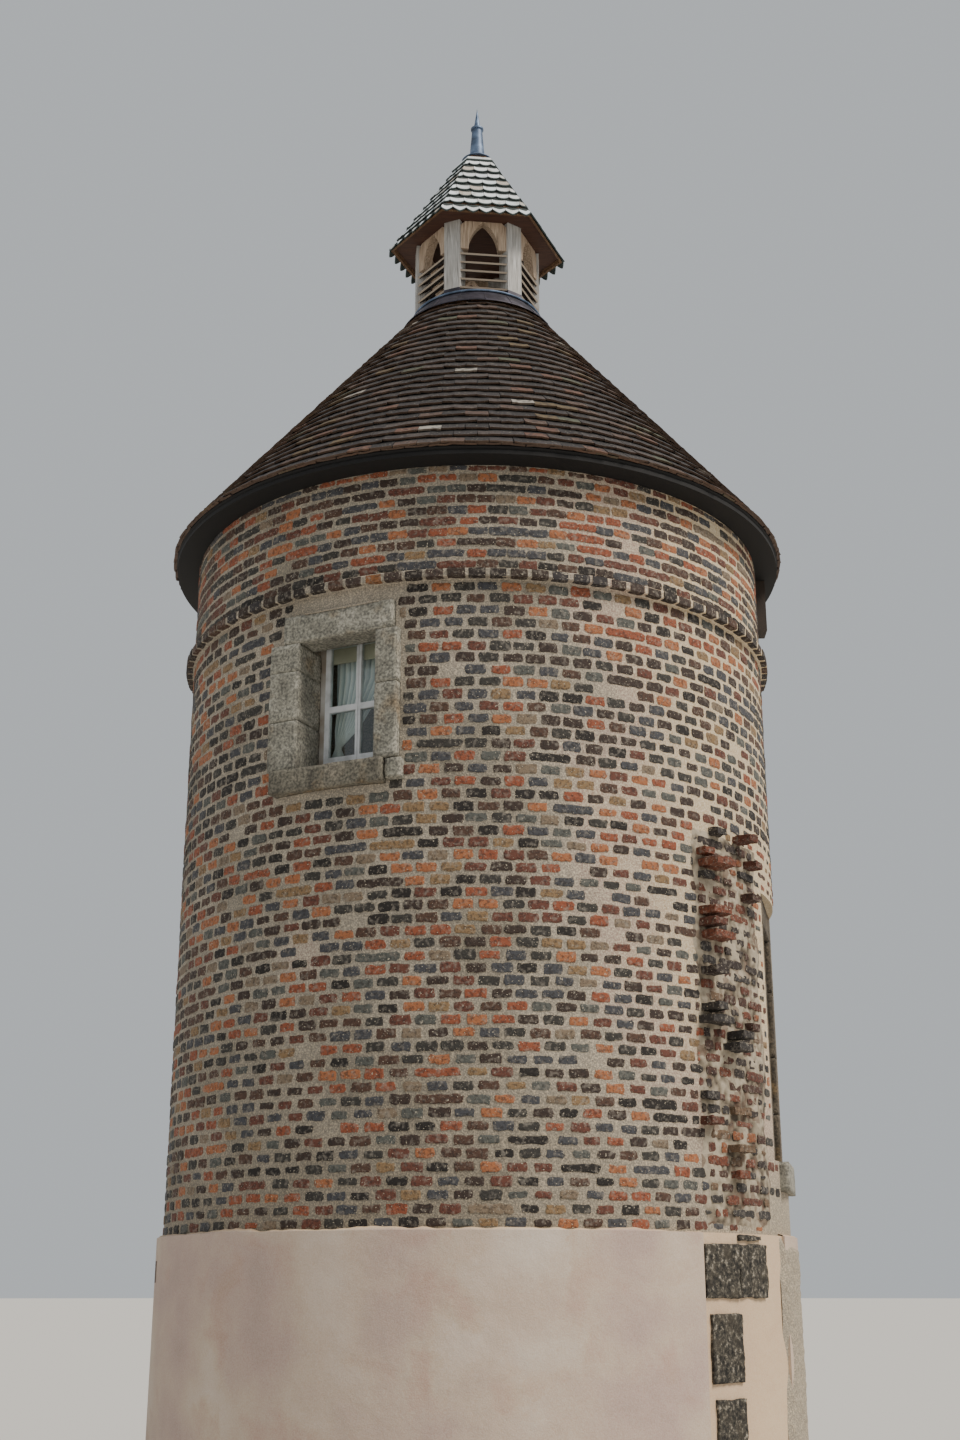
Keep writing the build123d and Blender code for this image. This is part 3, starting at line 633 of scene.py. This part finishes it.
def lay_rubble(name, material, radius, sunk, start, end, bottom, top):
    """Sheet of broken masonry over a wall, from azimuth to azimuth, with a ragged rim that is sunk in it."""
    columns = math.ceil((end - start) / 0.37)
    rows = math.ceil((top - bottom) / 0.0113)
    points, swells = [], []
    for row in range(rows + 1):
        height = bottom + (top - bottom) * row / rows
        for column in range(columns + 1):
            azimuth = start + (end - start) * column / columns
            spot = on_wall(wall_radius, azimuth, height)
            side = min(column, columns - column) * 0.0155
            side += noise.noise(spot * 6.0) * 0.05 + noise.noise(spot * 2.1) * 0.08
            edge = max(0.0, min(1.0, side / 0.1, row / 8, (rows - row) / 8))
            swell = 0.5 + noise.noise(spot * 7.0) * 0.55 + noise.noise(spot * 24.0) * 0.5
            points.append(on_wall(radius - sunk + edge * (sunk + 0.014 * max(0.0, swell)), azimuth, height))
            swells.append(swell)
    sheet = Pile()
    sheet.add(points, strip_faces(rows + 1, columns + 1), 0.5, swells)
    return sheet.make(name, material)


lay_rubble("broken_core", old_core, wall_radius + 0.003, 0.009, 39.6, 62.0, base_top + 0.01,
           base_top + 0.01 + 32.6 * course_height)
scar_openings = [opening_for(stub, azimuth_of(stub), 0.004) for stub in stubs]
scar_openings.append(Opening(60.0, 401.0, 0.0, wall_top))
scar_pile = Pile()
for k in range(1, low_courses - 1):
    lay_course(scar_pile, wall_radius + 0.012, course_feet[k] + bed_joint / 2, brick_height, 0.16,
               chance.random(), scar_openings, 0.15)
scar_pile.make("scar_bricks", stub_brick)
lay_rubble("broken_foot", lime_mortar, base_radius, 0.024, 62.0, 79.0, 0.001, base_top - 0.004)

toothing = stub_pile.make("broken_toothing", stub_brick)
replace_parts(toothing, "toothing_bricks")


# Corner stones: rough dark granite blocks of the same old wall, in a strip that the render
# leaves bare. Splitting leaves them craggy, and lichen greys them.

granite, tree, shader, place = new_material("granite, split and weathered", 0.9)
crystals = add_node(tree, "TexNoise", {"Vector": place, "Scale": 30.0, "Detail": 8.0, "Roughness": 0.75})
tone = add_node(tree, "ValToRGB", {"Fac": crystals}, stops=(
    (0.38, "#100F0E"), (0.47, "#302D28"), (0.55, "#524D43"), (0.64, "#A0988A")))
lichen = add_node(tree, "TexNoise", {"Vector": place, "Scale": 9.0, "Detail": 4.0})
grown = add_node(tree, "MapRange", {"Value": lichen, "From Min": 0.5, "From Max": 0.66, "To Max": 0.5})
tree.links.new(add_node(tree, "Mix", {"Factor": grown, "A": tone, "B": "#4A4337"}, data_type="RGBA"),
               shader["Base Color"])
crags = add_node(tree, "TexNoise", {"Vector": place, "Scale": 22.0, "Detail": 4.0})
split = add_node(tree, "Bump", {"Height": crags, "Distance": 0.014})
tree.links.new(add_node(tree, "Bump", {"Height": crystals, "Distance": 0.004, "Normal": split}), shader["Normal"])
granite_pile = Pile()
for stone in solids_of("corner_stones"):
    low, high = drawn_box(stone, azimuth_of(stone))
    columns = max(1, round((high.x - low.x) / 0.36))
    width = (high.x - low.x) / columns
    for k in range(columns):
        turn = math.degrees(math.asin((low.x + width * (k + 0.5)) / wall_radius))
        set_block(granite_pile, Vector((-width / 2 - 0.006, -wall_radius - 0.046, low.z)),
                  Vector((width / 2 + 0.006, 0.03 - wall_radius, high.z)),
                  azimuth_of(stone) + turn, 0.018, 0.010, 0.006)
corner_granite = granite_pile.make("corner_granite", granite, smooth=True)
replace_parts(corner_granite, "corner_stones")


# Front window: a lintel, jamb blocks and a sill of soft grey-green stone, pitted by the weather,
# round a white painted wooden frame with two leaves. Lace-thin curtains hang behind the glass.

def weathered_stone(name, dark, middle, light):
    """Soft stone with ochre clouds, dark weather pits and a worn face."""
    material, tree, shader, place = new_material(name, 0.9)
    cloud = add_node(tree, "TexNoise", {"Vector": place, "Scale": 7.0, "Detail": 5.0})
    tone = add_node(tree, "ValToRGB", {"Fac": cloud}, stops=((0.3, dark), (0.5, middle), (0.7, light)))
    rust = add_node(tree, "TexNoise", {"Vector": place, "Scale": 4.5, "Detail": 3.0})
    ochre = add_node(tree, "MapRange", {"Value": rust, "From Min": 0.56, "From Max": 0.72, "To Max": 0.5})
    warm = add_node(tree, "Mix", {"Factor": ochre, "A": tone, "B": "#97794C"}, data_type="RGBA")
    pits = add_node(tree, "TexNoise", {"Vector": place, "Scale": 58.0, "Detail": 5.0})
    grey = add_node(tree, "ValToRGB", {"Fac": pits}, stops=((0.38, "#040302"), (0.45, "#767470"), (0.68, "#D2D0CA")))
    tree.links.new(add_node(tree, "Mix", {"Factor": 0.6, "A": warm, "B": grey},
                            data_type="RGBA", blend_type="OVERLAY"), shader["Base Color"])
    worn = add_node(tree, "Bump", {"Height": cloud, "Distance": 0.006})
    tree.links.new(add_node(tree, "Bump", {"Height": pits, "Distance": 0.005, "Normal": worn}), shader["Normal"])
    return material


cut_stone = weathered_stone("tuffeau limestone, dressed", "#807D74", "#9D9B90", "#B6B3A8")
sill_stone = weathered_stone("tuffeau limestone, rain worn", "#625E55", "#7C786C", "#938C7E")
# Painted shade: the side window's lintel and jambs take a darker copy of the stone, for their deep, unlit reveal.
shaded_stone = weathered_stone("tuffeau limestone, darkened as painted shade", "#4A4238", "#5E5548", "#72685A")


def block_column(pile, low, high, azimuth, joints):
    """Blocks of stone one over the other, with thin joints at the given heights."""
    levels = [low.z, *joints, high.z]
    for bottom, top in zip(levels, levels[1:]):
        set_block(pile, Vector((low.x, low.y, bottom + 0.0008)), Vector((high.x, high.y, top - 0.0008)),
                  azimuth, 0.03, 0.004, 0.0025)


for window, azimuth, jamb_joints, finishes in (
        ("front_window", front_azimuth, ((5.27, 5.62), (5.44,)), (cut_stone, sill_stone, cut_stone)),
        ("side_window", side_azimuth, ((2.9, 3.3, 3.7), (2.85, 3.25, 3.72)), (shaded_stone, cut_stone, shaded_stone))):
    for part, finish in zip(("lintel", "sill", "jambs"), finishes):
        pile = Pile()
        boxes = sorted((drawn_box(solid, azimuth) for solid in solids_of(f"{window}_{part}")),
                       key=lambda box: box[0].x)
        for (low, high), joints in zip(boxes, jamb_joints if part == "jambs" else ((),)):
            block_column(pile, low, high, azimuth, joints)
        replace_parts(pile.make(f"{window}_{part}_stone", finish, smooth=True), f"{window}_{part}")

foot_pile = Pile()
front_sill_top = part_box("front_window_sill")[1].z
set_block(foot_pile, Vector((0.375, -2.214, front_sill_top - 0.15)), Vector((0.49, -2.12, front_sill_top - 0.005)),
          front_azimuth, 0.03, 0.012, 0.004)
foot_pile.make("front_window_foot_stone", cut_stone, smooth=True)
fillet_pile = Pile()
lintel_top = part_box("front_window_lintel")[1].z
set_block(fillet_pile, Vector((-0.26, -2.218, lintel_top - 0.007)), Vector((0.32, -2.19, lintel_top + 0.010)),
          front_azimuth, 0.03, 0.005, 0.003)
fillet_pile.make("front_window_fillet", lime_mortar, smooth=True)


def painted(name, dirty, clean, bright, scale):
    """White oil paint on wood. It chalks in the sun, and dust greys it where rain doesn't reach; the frames' darker
    copy also holds painted shade.
    """
    material, tree, shader, place = new_material(name, 0.5)
    wear = add_node(tree, "TexNoise", {"Vector": place, "Scale": scale, "Detail": 5.0})
    chalk = add_node(tree, "ValToRGB", {"Fac": wear}, stops=((0.32, dirty), (0.5, clean), (0.7, bright)))
    tree.links.new(chalk, shader["Base Color"])
    tree.links.new(add_node(tree, "Bump", {"Height": wear, "Distance": 0.0015}), shader["Normal"])
    return material


white_paint = painted("linseed paint, chalking", "#B8BCBE", "#DCE0E4", "#E8ECF0", 9.0)
# The frames take a darker copy of the paint: dust, and painted shade under the lintel.
dusty_shaded_paint = painted("linseed paint, dusty and worn, with painted shade", "#6A5F52", "#958C80", "#C4C2BE", 3.0)


def soften(width, *names):
    """Ease the edges of CAD nodes, as planing and use do."""
    for name in names:
        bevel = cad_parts[name].modifiers.new("eased edges", "BEVEL")
        bevel.width, bevel.segments, bevel.limit_method = width, 2, "ANGLE"


for window in ("front_window", "side_window"):
    dress(dusty_shaded_paint, f"{window}_frame")
    dress(white_paint, f"{window}_casements")
    soften(0.003, f"{window}_frame", f"{window}_casements")

glass, tree, shader, place = new_material("drawn window glass, dusty", 0.08)
seen_edge_on = add_node(tree, "Fresnel", {"IOR": 1.5})
shine = add_node(tree, "BsdfGlossy", {"Color": "#FFFFFF", "Roughness": 0.04})
pane = add_node(tree, "MixShader", {"Fac": seen_edge_on, 1: add_node(tree, "BsdfTransparent", {"Color": "#F6FAF8"}),
                                    2: shine})
tree.links.new(pane, tree.nodes["Material Output"].inputs["Surface"])
dress(glass, "front_window_glass", "side_window_glass")

voile, tree, shader, place = new_material("cotton voile, washed thin", 0.95)
# Painted shade of the folds: grey-blue in their valleys, white on their crests.
fold = add_node(tree, "Attribute", attribute_name="fold", output="Fac")
fold_shading = add_node(tree, "ValToRGB", {"Fac": fold}, stops=((0.0, "#A8B6BE"), (0.4, "#EAF2F6"), (1.0, "#FCFEFF")))
tree.links.new(fold_shading, shader["Base Color"])
tree.links.new(add_node(tree, "MixShader", {
    "Fac": 0.1, 1: tree.nodes["Principled BSDF"].outputs[0],
    2: add_node(tree, "BsdfTranslucent", {"Color": fold_shading})}), tree.nodes["Material Output"].inputs["Surface"])

drape_low, drape_high = drawn_box([p for s in solids_of("front_window_curtains") for p in s], front_azimuth)
drape_y = (drape_low.y + drape_high.y) / 2
drape_height = drape_high.z - drape_low.z


def drape(name, edges, pleats):
    """Curtain through (height, left x, right x) levels from its foot to its rail, in upright folds."""
    columns, rows = pleats * 8, 48
    points, folds = [], []
    for row in range(rows + 1):
        height = drape_low.z + drape_height * row / rows
        lower, upper = next(pair for pair in zip(edges, edges[1:]) if height <= pair[1][0] or pair[1] is edges[-1])
        part = (height - lower[0]) / (upper[0] - lower[0])
        left, right = (lower[k] + (upper[k] - lower[k]) * part for k in (1, 2))
        for column in range(columns + 1):
            along = column / columns
            wave = math.sin(along * pleats * 2 * math.pi + 0.9 * math.sin(along * 9 + row / rows * 3))
            points.append(turned((left + (right - left) * along, drape_y + wave * 0.011, height), front_azimuth))
            # The fold mark is 1 on a crest towards the glass and 0 in a valley, for the painted fold shade.
            folds.append(0.5 - wave / 2)
    cloth = build_mesh(name, points, strip_faces(rows + 1, columns + 1), voile, smooth=True)
    cloth.data.attributes.new("fold", "FLOAT", "POINT").data.foreach_set("value", folds)
    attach(cloth, "root")
    return cloth


left_curtain = drape("left_curtain", (
    (4.95, -0.270, -0.140), (5.10, -0.262, -0.150), (5.17, -0.225, -0.180), (5.30, -0.240, -0.030),
    (5.48, -0.228, 0.090), (5.65, -0.228, 0.185), (5.80, -0.228, 0.195)), 10)
right_curtain = drape("right_curtain", ((4.95, 0.225, 0.262), (5.80, 0.205, 0.270)), 3)
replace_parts(left_curtain, "front_window_curtains")
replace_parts(right_curtain, "front_window_curtains")

# The blind's board behind the top of the glass
blind_pile = Pile()
set_block(blind_pile, Vector((-0.262, -1.857, 5.765)), Vector((0.262, -1.846, 5.905)), front_azimuth, 0.1, 0.003, 0.0)
blind_pile.make("front_window_blind_board", painted("linseed paint, yellowed", "#BDB4A0", "#D2CAB6", "#DED6C4", 5.0))


# Door: five upright boards under a timber lintel, on the side away from the picture. It is
# painted grey, and the paint has worn thin along the grain.

door_paint = timber("oak boards, grey paint worn thin", "#4E4B46", "#6C6A63", "#85837A", along_z)
low, high = drawn_box(solids_of("door")[0], -90)
door_pile = Pile()
board_count = 5
board = (high.x - low.x) / board_count
for k in range(board_count):
    set_block(door_pile, Vector((low.x + board * k + 0.002, low.y, low.z)),
              Vector((low.x + board * (k + 1) - 0.002, high.y, high.z)), -90, 0.08, 0.006, 0.001)
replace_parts(door_pile.make("door_planks", door_paint), "door")
dress(timber("oak beam, hewn", "#3E2E22", "#5A4432", "#735A42", along_y), "door_lintel")
soften(0.008, "door_lintel")


# Eaves and roof timbers: a tarred, boarded cornice that no light reaches, coloured near black as painted shade, and
# hewn rafters under a conical boarding that closes the roof from within.

# Near black: tar, and painted shade under the eaves.
tarred_boards_and_shade = timber("softwood boards, tarred, near black as painted shade", "#060606", "#0A090A", "#100F11", along_z, 0.8)
dress(tarred_boards_and_shade, "eaves_cornice")
dress(timber("oak poles, hewn", "#3A2C20", "#57432F", "#6E573F", along_z), "rafters")

eave_radius, eave_height, roof_pitch = 2.414, 7.067, math.radians(51.2)
tile_layer, roof_shell, roof_top_radius = 0.040, 0.062, 0.60
roof_length = (eave_radius - roof_top_radius) / math.cos(roof_pitch)


def slope_section(up, depth):
    """Radius and height of a point so far up the roof's slope and so deep under its face."""
    return (eave_radius - up * math.cos(roof_pitch) - depth * math.sin(roof_pitch),
            eave_height + up * math.sin(roof_pitch) - depth * math.cos(roof_pitch))


def on_slope(x, up, depth, azimuth):
    """Point of a flat piece on the roof, x metres to the right of its azimuth."""
    radius, height = slope_section(up, depth)
    return turned((x, -radius, height), azimuth)


sarking = turn_profile("roof_boarding", (
    slope_section(0.0, roof_shell), slope_section(0.0, tile_layer), slope_section(roof_length, tile_layer),
    slope_section(roof_length, roof_shell)), 96, tarred_boards_and_shade)


# Roof tiles: small flat clay tiles, fired dark and blackened by lichen, hung in 25 courses with
# broken joints. The hand-made ones twist a little, so that their tails cast uneven lines.

clay_tile, tree, shader, place = new_material("flat clay tile, wood fired", 0.85)
firing = add_node(tree, "Attribute", attribute_name="tone", output="Fac")
fired = add_node(tree, "ValToRGB", {"Fac": firing}, stops=(
    (0.0, "#232021"), (0.22, "#2E2A2B"), (0.42, "#383333"), (0.6, "#443C39"), (0.76, "#503F37"),
    (0.87, "#5E4236"), (0.92, "#5E5038"), (0.955, "#4C5040"), (0.98, "#9A958C")))
fired.node.color_ramp.interpolation = "CONSTANT"
growth = add_node(tree, "TexNoise", {"Vector": place, "Scale": 26.0, "Detail": 4.0})
lichen = add_node(tree, "MapRange", {"Value": growth, "From Min": 0.5, "From Max": 0.64, "To Max": 0.75})
grown = add_node(tree, "Mix", {"Factor": lichen, "A": fired, "B": "#242022"}, data_type="RGBA")
crust = add_node(tree, "TexNoise", {"Vector": place, "Scale": 60.0, "Detail": 2.0})
pale = add_node(tree, "MapRange", {"Value": crust, "From Min": 0.62, "From Max": 0.70, "To Max": 0.6})
crusted = add_node(tree, "Mix", {"Factor": pale, "A": grown, "B": "#8A8678"}, data_type="RGBA")
from_tail = add_node(tree, "Attribute", attribute_name="middle", output="Fac")
tail = add_node(tree, "MapRange", {"Value": from_tail, "From Min": 0.05, "From Max": 0.0, "To Max": 0.6})
browned = add_node(tree, "Mix", {"Factor": tail, "A": crusted, "B": "#5E4838"}, data_type="RGBA")
# Painted shadow: near black on the part of each tile that the course above laps, which shows as a band under that
# course's tails, and on the tiles' undersides towards their heads.
painted_shadow_band = add_node(tree, "MapRange", {"Value": from_tail, "From Min": 0.33, "From Max": 0.40})
tree.links.new(add_node(tree, "Mix", {"Factor": painted_shadow_band, "A": browned, "B": "#0C0B0B"}, data_type="RGBA"),
               shader["Base Color"])
tree.links.new(add_node(tree, "Bump", {"Height": growth, "Distance": 0.004}), shader["Normal"])

tile_courses = 25
tile_width, tile_length, tile_thickness, tile_drop = 0.166, 0.235, 0.015, 0.044
tile_exposure = roof_length / tile_courses
tile_columns = (-1.0, -0.35, 0.35, 1.0)
tile_pile = Pile()


def hang_tile(azimuth, up, depth, length):
    """One flat tile, tail down, with its corners a little off and its tail edge uneven."""
    half = tile_width / 2 - chance.uniform(0.001, 0.004)
    sunk = depth + half * half / (2 * slope_section(up, 0)[0])
    skew = chance.uniform(-0.009, 0.009)
    rows = [[], [], [], []]
    for column in tile_columns:
        x = column * half
        tail = up + column * skew + chance.uniform(-0.004, 0.004)
        lift = chance.uniform(0.0, 0.006)
        rows[0].append(on_slope(x, up + length, sunk + tile_drop + tile_thickness, azimuth))
        rows[1].append(on_slope(x, tail + 0.002, sunk + lift + tile_thickness, azimuth))
        rows[2].append(on_slope(x, tail, sunk + lift, azimuth))
        rows[3].append(on_slope(x, up + length, sunk + tile_drop, azimuth))
    points = [point for row in rows for point in row]
    faces = strip_faces(4, 4) + [(0, 12, 8, 4), (3, 7, 11, 15)]
    # The underside is marked 1 at its head and 0 at its tail, so that its head half takes the painted shadow.
    tile_pile.add(points, faces, chance.random(), [1.0] * 4 + [0.0] * 8 + [length / tile_length] * 4)


for course in range(tile_courses):
    up = course * tile_exposure
    count = round(2 * math.pi * slope_section(up, 0)[0] / tile_width)
    for k in range(count):
        azimuth = 360 * (k + (course % 2) / 2) / count + chance.uniform(-0.06, 0.06)
        length = min(tile_length, roof_length - up + 0.02)
        hang_tile(azimuth, up + chance.uniform(0.0, 0.008), 0.001, length)
        if course == 0:
            hang_tile(azimuth + 180 / count, up + 0.004, 0.016, tile_exposure)
tiles = tile_pile.make("roof_tile_courses", clay_tile)
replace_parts(tiles, "roof_tiles")
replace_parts(sarking, "roof_tiles")


# Zinc collar: sheets folded together in upright seams close the roof against the lantern's
# curb, with a rolled top edge. Rolled zinc dulls to blue-grey and stays smooth.

def zinc_sheet(name, dark, middle, light):
    """Rolled zinc that the weather has dulled in clouds."""
    material, tree, shader, place = new_material(name, 0.5)
    shader["Metallic"].default_value = 0.5
    bloom = add_node(tree, "TexNoise", {"Vector": place, "Scale": 12.0, "Detail": 5.0})
    tone = add_node(tree, "ValToRGB", {"Fac": bloom}, stops=((0.3, dark), (0.5, middle), (0.7, light)))
    tree.links.new(tone, shader["Base Color"])
    tree.links.new(add_node(tree, "Bump", {"Height": bloom, "Distance": 0.003}), shader["Normal"])
    return material


zinc = zinc_sheet("zinc sheet, blue-grey", "#465468", "#5C6E88", "#788CA6")
dulled_zinc = zinc_sheet("zinc sheet, dulled by the rain off the lantern", "#2C2A30", "#3C3942", "#4E4B56")
dress(zinc, "finial_skirt", "finial")
dress(dulled_zinc, "lantern_flashing")

collar_foot, seam_count = 0.642, 18
foot_up = (eave_radius - collar_foot) / math.cos(roof_pitch)
seam_pile = Pile()
for k in range(seam_count):
    points, faces = worn_block(Vector((0.010, 0.15, 0.012)), 0.03, 0.004, 0.0005)
    seam_pile.add([on_slope(p.x, foot_up + 0.078 + p.y, p.z - 0.004, 360 * (k + 0.3) / seam_count) for p in points],
                  faces)
seam_pile.make("collar_seams", dulled_zinc)
collar_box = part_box("lantern_flashing")
roll_radius, roll_size = collar_foot - 0.098, 0.009
roll = []
for k in range(10):
    turn = 2 * math.pi * k / 10
    roll.append((roll_radius + roll_size * math.cos(turn), collar_box[1].z - roll_size + roll_size * math.sin(turn)))
turn_profile("collar_roll", roll, 72, zinc, smooth=True)


# Lantern: six square posts stand on the curb and carry a plate. Curved braces turn the spaces
# between them into arches, and sloping louvres fill these. The oak has silvered in the weather.

dress(timber("oak, silvered by weather", "#6A6866", "#ACAAA6", "#D0D0CE", along_z), "lantern_posts")
dress(timber("oak in the shelter of the eaves", "#6E5E50", "#B49E88", "#D8C7B1", along_z), "lantern_braces")

# Painted shade: the slats' sloping faces are dark, for the shade between them, and only their upright front edges are
# bleached pale.
louvre_oak_shaded = timber("oak slats, bleached on their front edges", "#2A211B", "#3A2E26", "#4B3D32", (20.0, 20.0, 160.0))
tree = louvre_oak_shaded.node_tree
shader = tree.nodes["Principled BSDF"].inputs
facing = add_node(tree, "SeparateXYZ", {"Vector": add_node(tree, "NewGeometry", output="True Normal")}, output="Z")
level = add_node(tree, "Math", {0: facing}, operation="ABSOLUTE")
front_edge = add_node(tree, "MapRange", {"Value": level, "From Min": 0.75, "From Max": 0.6})
slat = shader["Base Color"].links[0].from_socket
tree.links.new(add_node(tree, "Mix", {"Factor": front_edge, "A": slat, "B": "#A79A8A"}, data_type="RGBA"),
               shader["Base Color"])
dress(louvre_oak_shaded, "lantern_louvres")
dress(timber("softwood soffit, stained brown", "#35201A", "#4A2E22", "#5C3B2B", along_x), "lantern_soffit")
soften(0.006, "lantern_posts")
soften(0.003, "lantern_braces", "lantern_louvres", "lantern_soffit")


foot_pile = Pile()
for post in solids_of("lantern_posts"):
    low, high = drawn_box(post, azimuth_of(post))
    low.z = collar_box[1].z - 0.02
    high.z = collar_box[1].z + 0.045
    set_block(foot_pile, low - Vector((0.002, 0.002, 0.0)), high + Vector((0.002, 0.002, 0.0)), azimuth_of(post),
              0.05, 0.003, 0.0005)
foot_pile.make("post_foot_sheets", dulled_zinc)


# Lantern roof: riven shingles with rounded tails, in eight courses on each of six faces. They
# have bleached pale, with brown streaks where water runs.

shingle_wood, tree, shader, place = new_material("riven chestnut shingle, bleached", 0.85)
along = add_node(tree, "Mapping", {"Vector": place, "Scale": (110.0, 110.0, 9.0)})
fibre = add_node(tree, "TexNoise", {"Vector": along, "Scale": 1.0, "Detail": 4.0})
split = add_node(tree, "Attribute", attribute_name="tone", output="Fac")
wood = add_node(tree, "ValToRGB", {"Fac": split}, stops=((0.0, "#E6EEF2"), (0.5, "#F8FCFE"), (0.88, "#DCDFDF"), (0.97, "#C8BEB0")))
fibres = add_node(tree, "ValToRGB", {"Fac": fibre}, stops=((0.3, "#6A645C"), (0.5, "#A0A6AA"), (0.7, "#C8CED2")))
grained = add_node(tree, "Mix", {"Factor": 0.5, "A": wood, "B": fibres}, data_type="RGBA", blend_type="OVERLAY")
run = add_node(tree, "TexNoise", {"Vector": add_node(tree, "Mapping", {"Vector": place, "Scale": (22.0, 22.0, 3.0)}),
                                  "Scale": 1.0, "Detail": 3.0})
streak = add_node(tree, "MapRange", {"Value": run, "From Min": 0.54, "From Max": 0.72, "To Max": 0.5})
streaked = add_node(tree, "Mix", {"Factor": streak, "A": grained, "B": "#8A7460"}, data_type="RGBA")
# Moss darkens the tails. The undersides carry the tail mark too and take the same dark as painted shade, and a painted
# shadow band lies under the tails of the course above.
from_tail = add_node(tree, "Attribute", attribute_name="middle", output="Fac")
tail = add_node(tree, "MapRange", {"Value": from_tail, "From Min": 0.17, "From Max": 0.10})
moss_and_underside_shade = add_node(tree, "Mix", {"Factor": tail, "A": streaked, "B": "#3C4746"}, data_type="RGBA")
painted_shadow_band = add_node(tree, "MapRange", {"Value": from_tail, "From Min": 0.57, "From Max": 0.64})
tree.links.new(add_node(tree, "Mix", {"Factor": painted_shadow_band, "A": moss_and_underside_shade, "B": "#333B3A"}, data_type="RGBA"),
               shader["Base Color"])
tree.links.new(add_node(tree, "Bump", {"Height": fibre, "Distance": 0.003}), shader["Normal"])

lantern_turn, lantern_sides = 6.5, 6
cap_apothem, cap_foot, cap_pitch = 0.6668, 10.096, math.radians(60.6)
shingle_courses, shingle_exposure, shingle_width = 8, 0.1235, 0.110
cap_length = shingle_courses * shingle_exposure
shingle_steps = 8
shingle_pile = Pile()


def on_cap(x, up, depth, azimuth):
    """Point of a face of the lantern roof, kept short of the hips."""
    reach = cap_apothem - up * math.cos(cap_pitch) - depth * math.sin(cap_pitch)
    limit = reach * math.tan(math.pi / lantern_sides)
    x = max(-limit, min(limit, x))
    return turned((x, -reach, cap_foot + up * math.sin(cap_pitch) - depth * math.cos(cap_pitch)), azimuth)


def hang_shingle(azimuth, middle, up, width, depth, point, bend):
    """One shingle, whose head slips under the course above, with a tail so long and so bent."""
    rows = [[], [], [], []]
    skew = chance.uniform(-0.002, 0.002)
    for k in range(shingle_steps + 1):
        side = 2 * k / shingle_steps - 1
        x = middle + side * (width / 2 - 0.0015)
        tail = up + point * abs(side) ** bend + side * skew
        head = up + shingle_exposure + 0.03
        rows[0].append(on_cap(x, head, 0.023, azimuth))
        rows[1].append(on_cap(x, tail + 0.001, depth + 0.010, azimuth))
        rows[2].append(on_cap(x, tail, depth, azimuth))
        rows[3].append(on_cap(x, head, 0.015, azimuth))
    count = shingle_steps + 1
    # The underside is marked as tail, so that it takes the dark of painted shade.
    shingle_pile.add([p for row in rows for p in row], strip_faces(4, count), chance.random(),
                     [0.0] * 3 * count + [1.0] * count)


for side in range(lantern_sides):
    azimuth = lantern_turn + side * 360 / lantern_sides
    for course in range(shingle_courses):
        up = course * shingle_exposure
        low_end, point, bend = (0.0, 0.030, 2.6) if course else (-0.035, 0.065, 1.4)
        half = (cap_apothem - up * math.cos(cap_pitch)) * math.tan(math.pi / lantern_sides)
        count = max(2, round(2 * half / shingle_width))
        width = 2 * half / count
        shift = (course % 2) / 2
        for k in range(count + (course % 2)):
            hang_shingle(azimuth, -half + (k + 0.5 - shift) * width, up + low_end + chance.uniform(0.0, 0.006),
                         width, chance.uniform(0.0, 0.003), point, bend)
    # Two short shingles a side close the top, and their heads slip under the finial's skirt.
    for left, right in ((-1.0, 0.0), (0.0, 1.0)):
        points = [on_cap(x, up, depth, azimuth) for up, depth in (
            (cap_length - 0.018, 0.012), (cap_length - 0.020, -0.005), (1.0227, -0.004), (1.0405, 0.0253))
            for x in (left, right)]
        shingle_pile.add(points, strip_faces(4, 2), chance.random(), [0.0] * 4 + [0.5] * 4)
shingles = shingle_pile.make("shingle_courses", shingle_wood)
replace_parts(shingles, "lantern_shingles")


# Bracket: a short hewn beam end under the eaves on the right, black with age.

dress(timber("oak beam end, blackened", "#1E1A17", "#332A24", "#4A3D33", along_y), "eaves_bracket")
soften(0.006, "eaves_bracket")
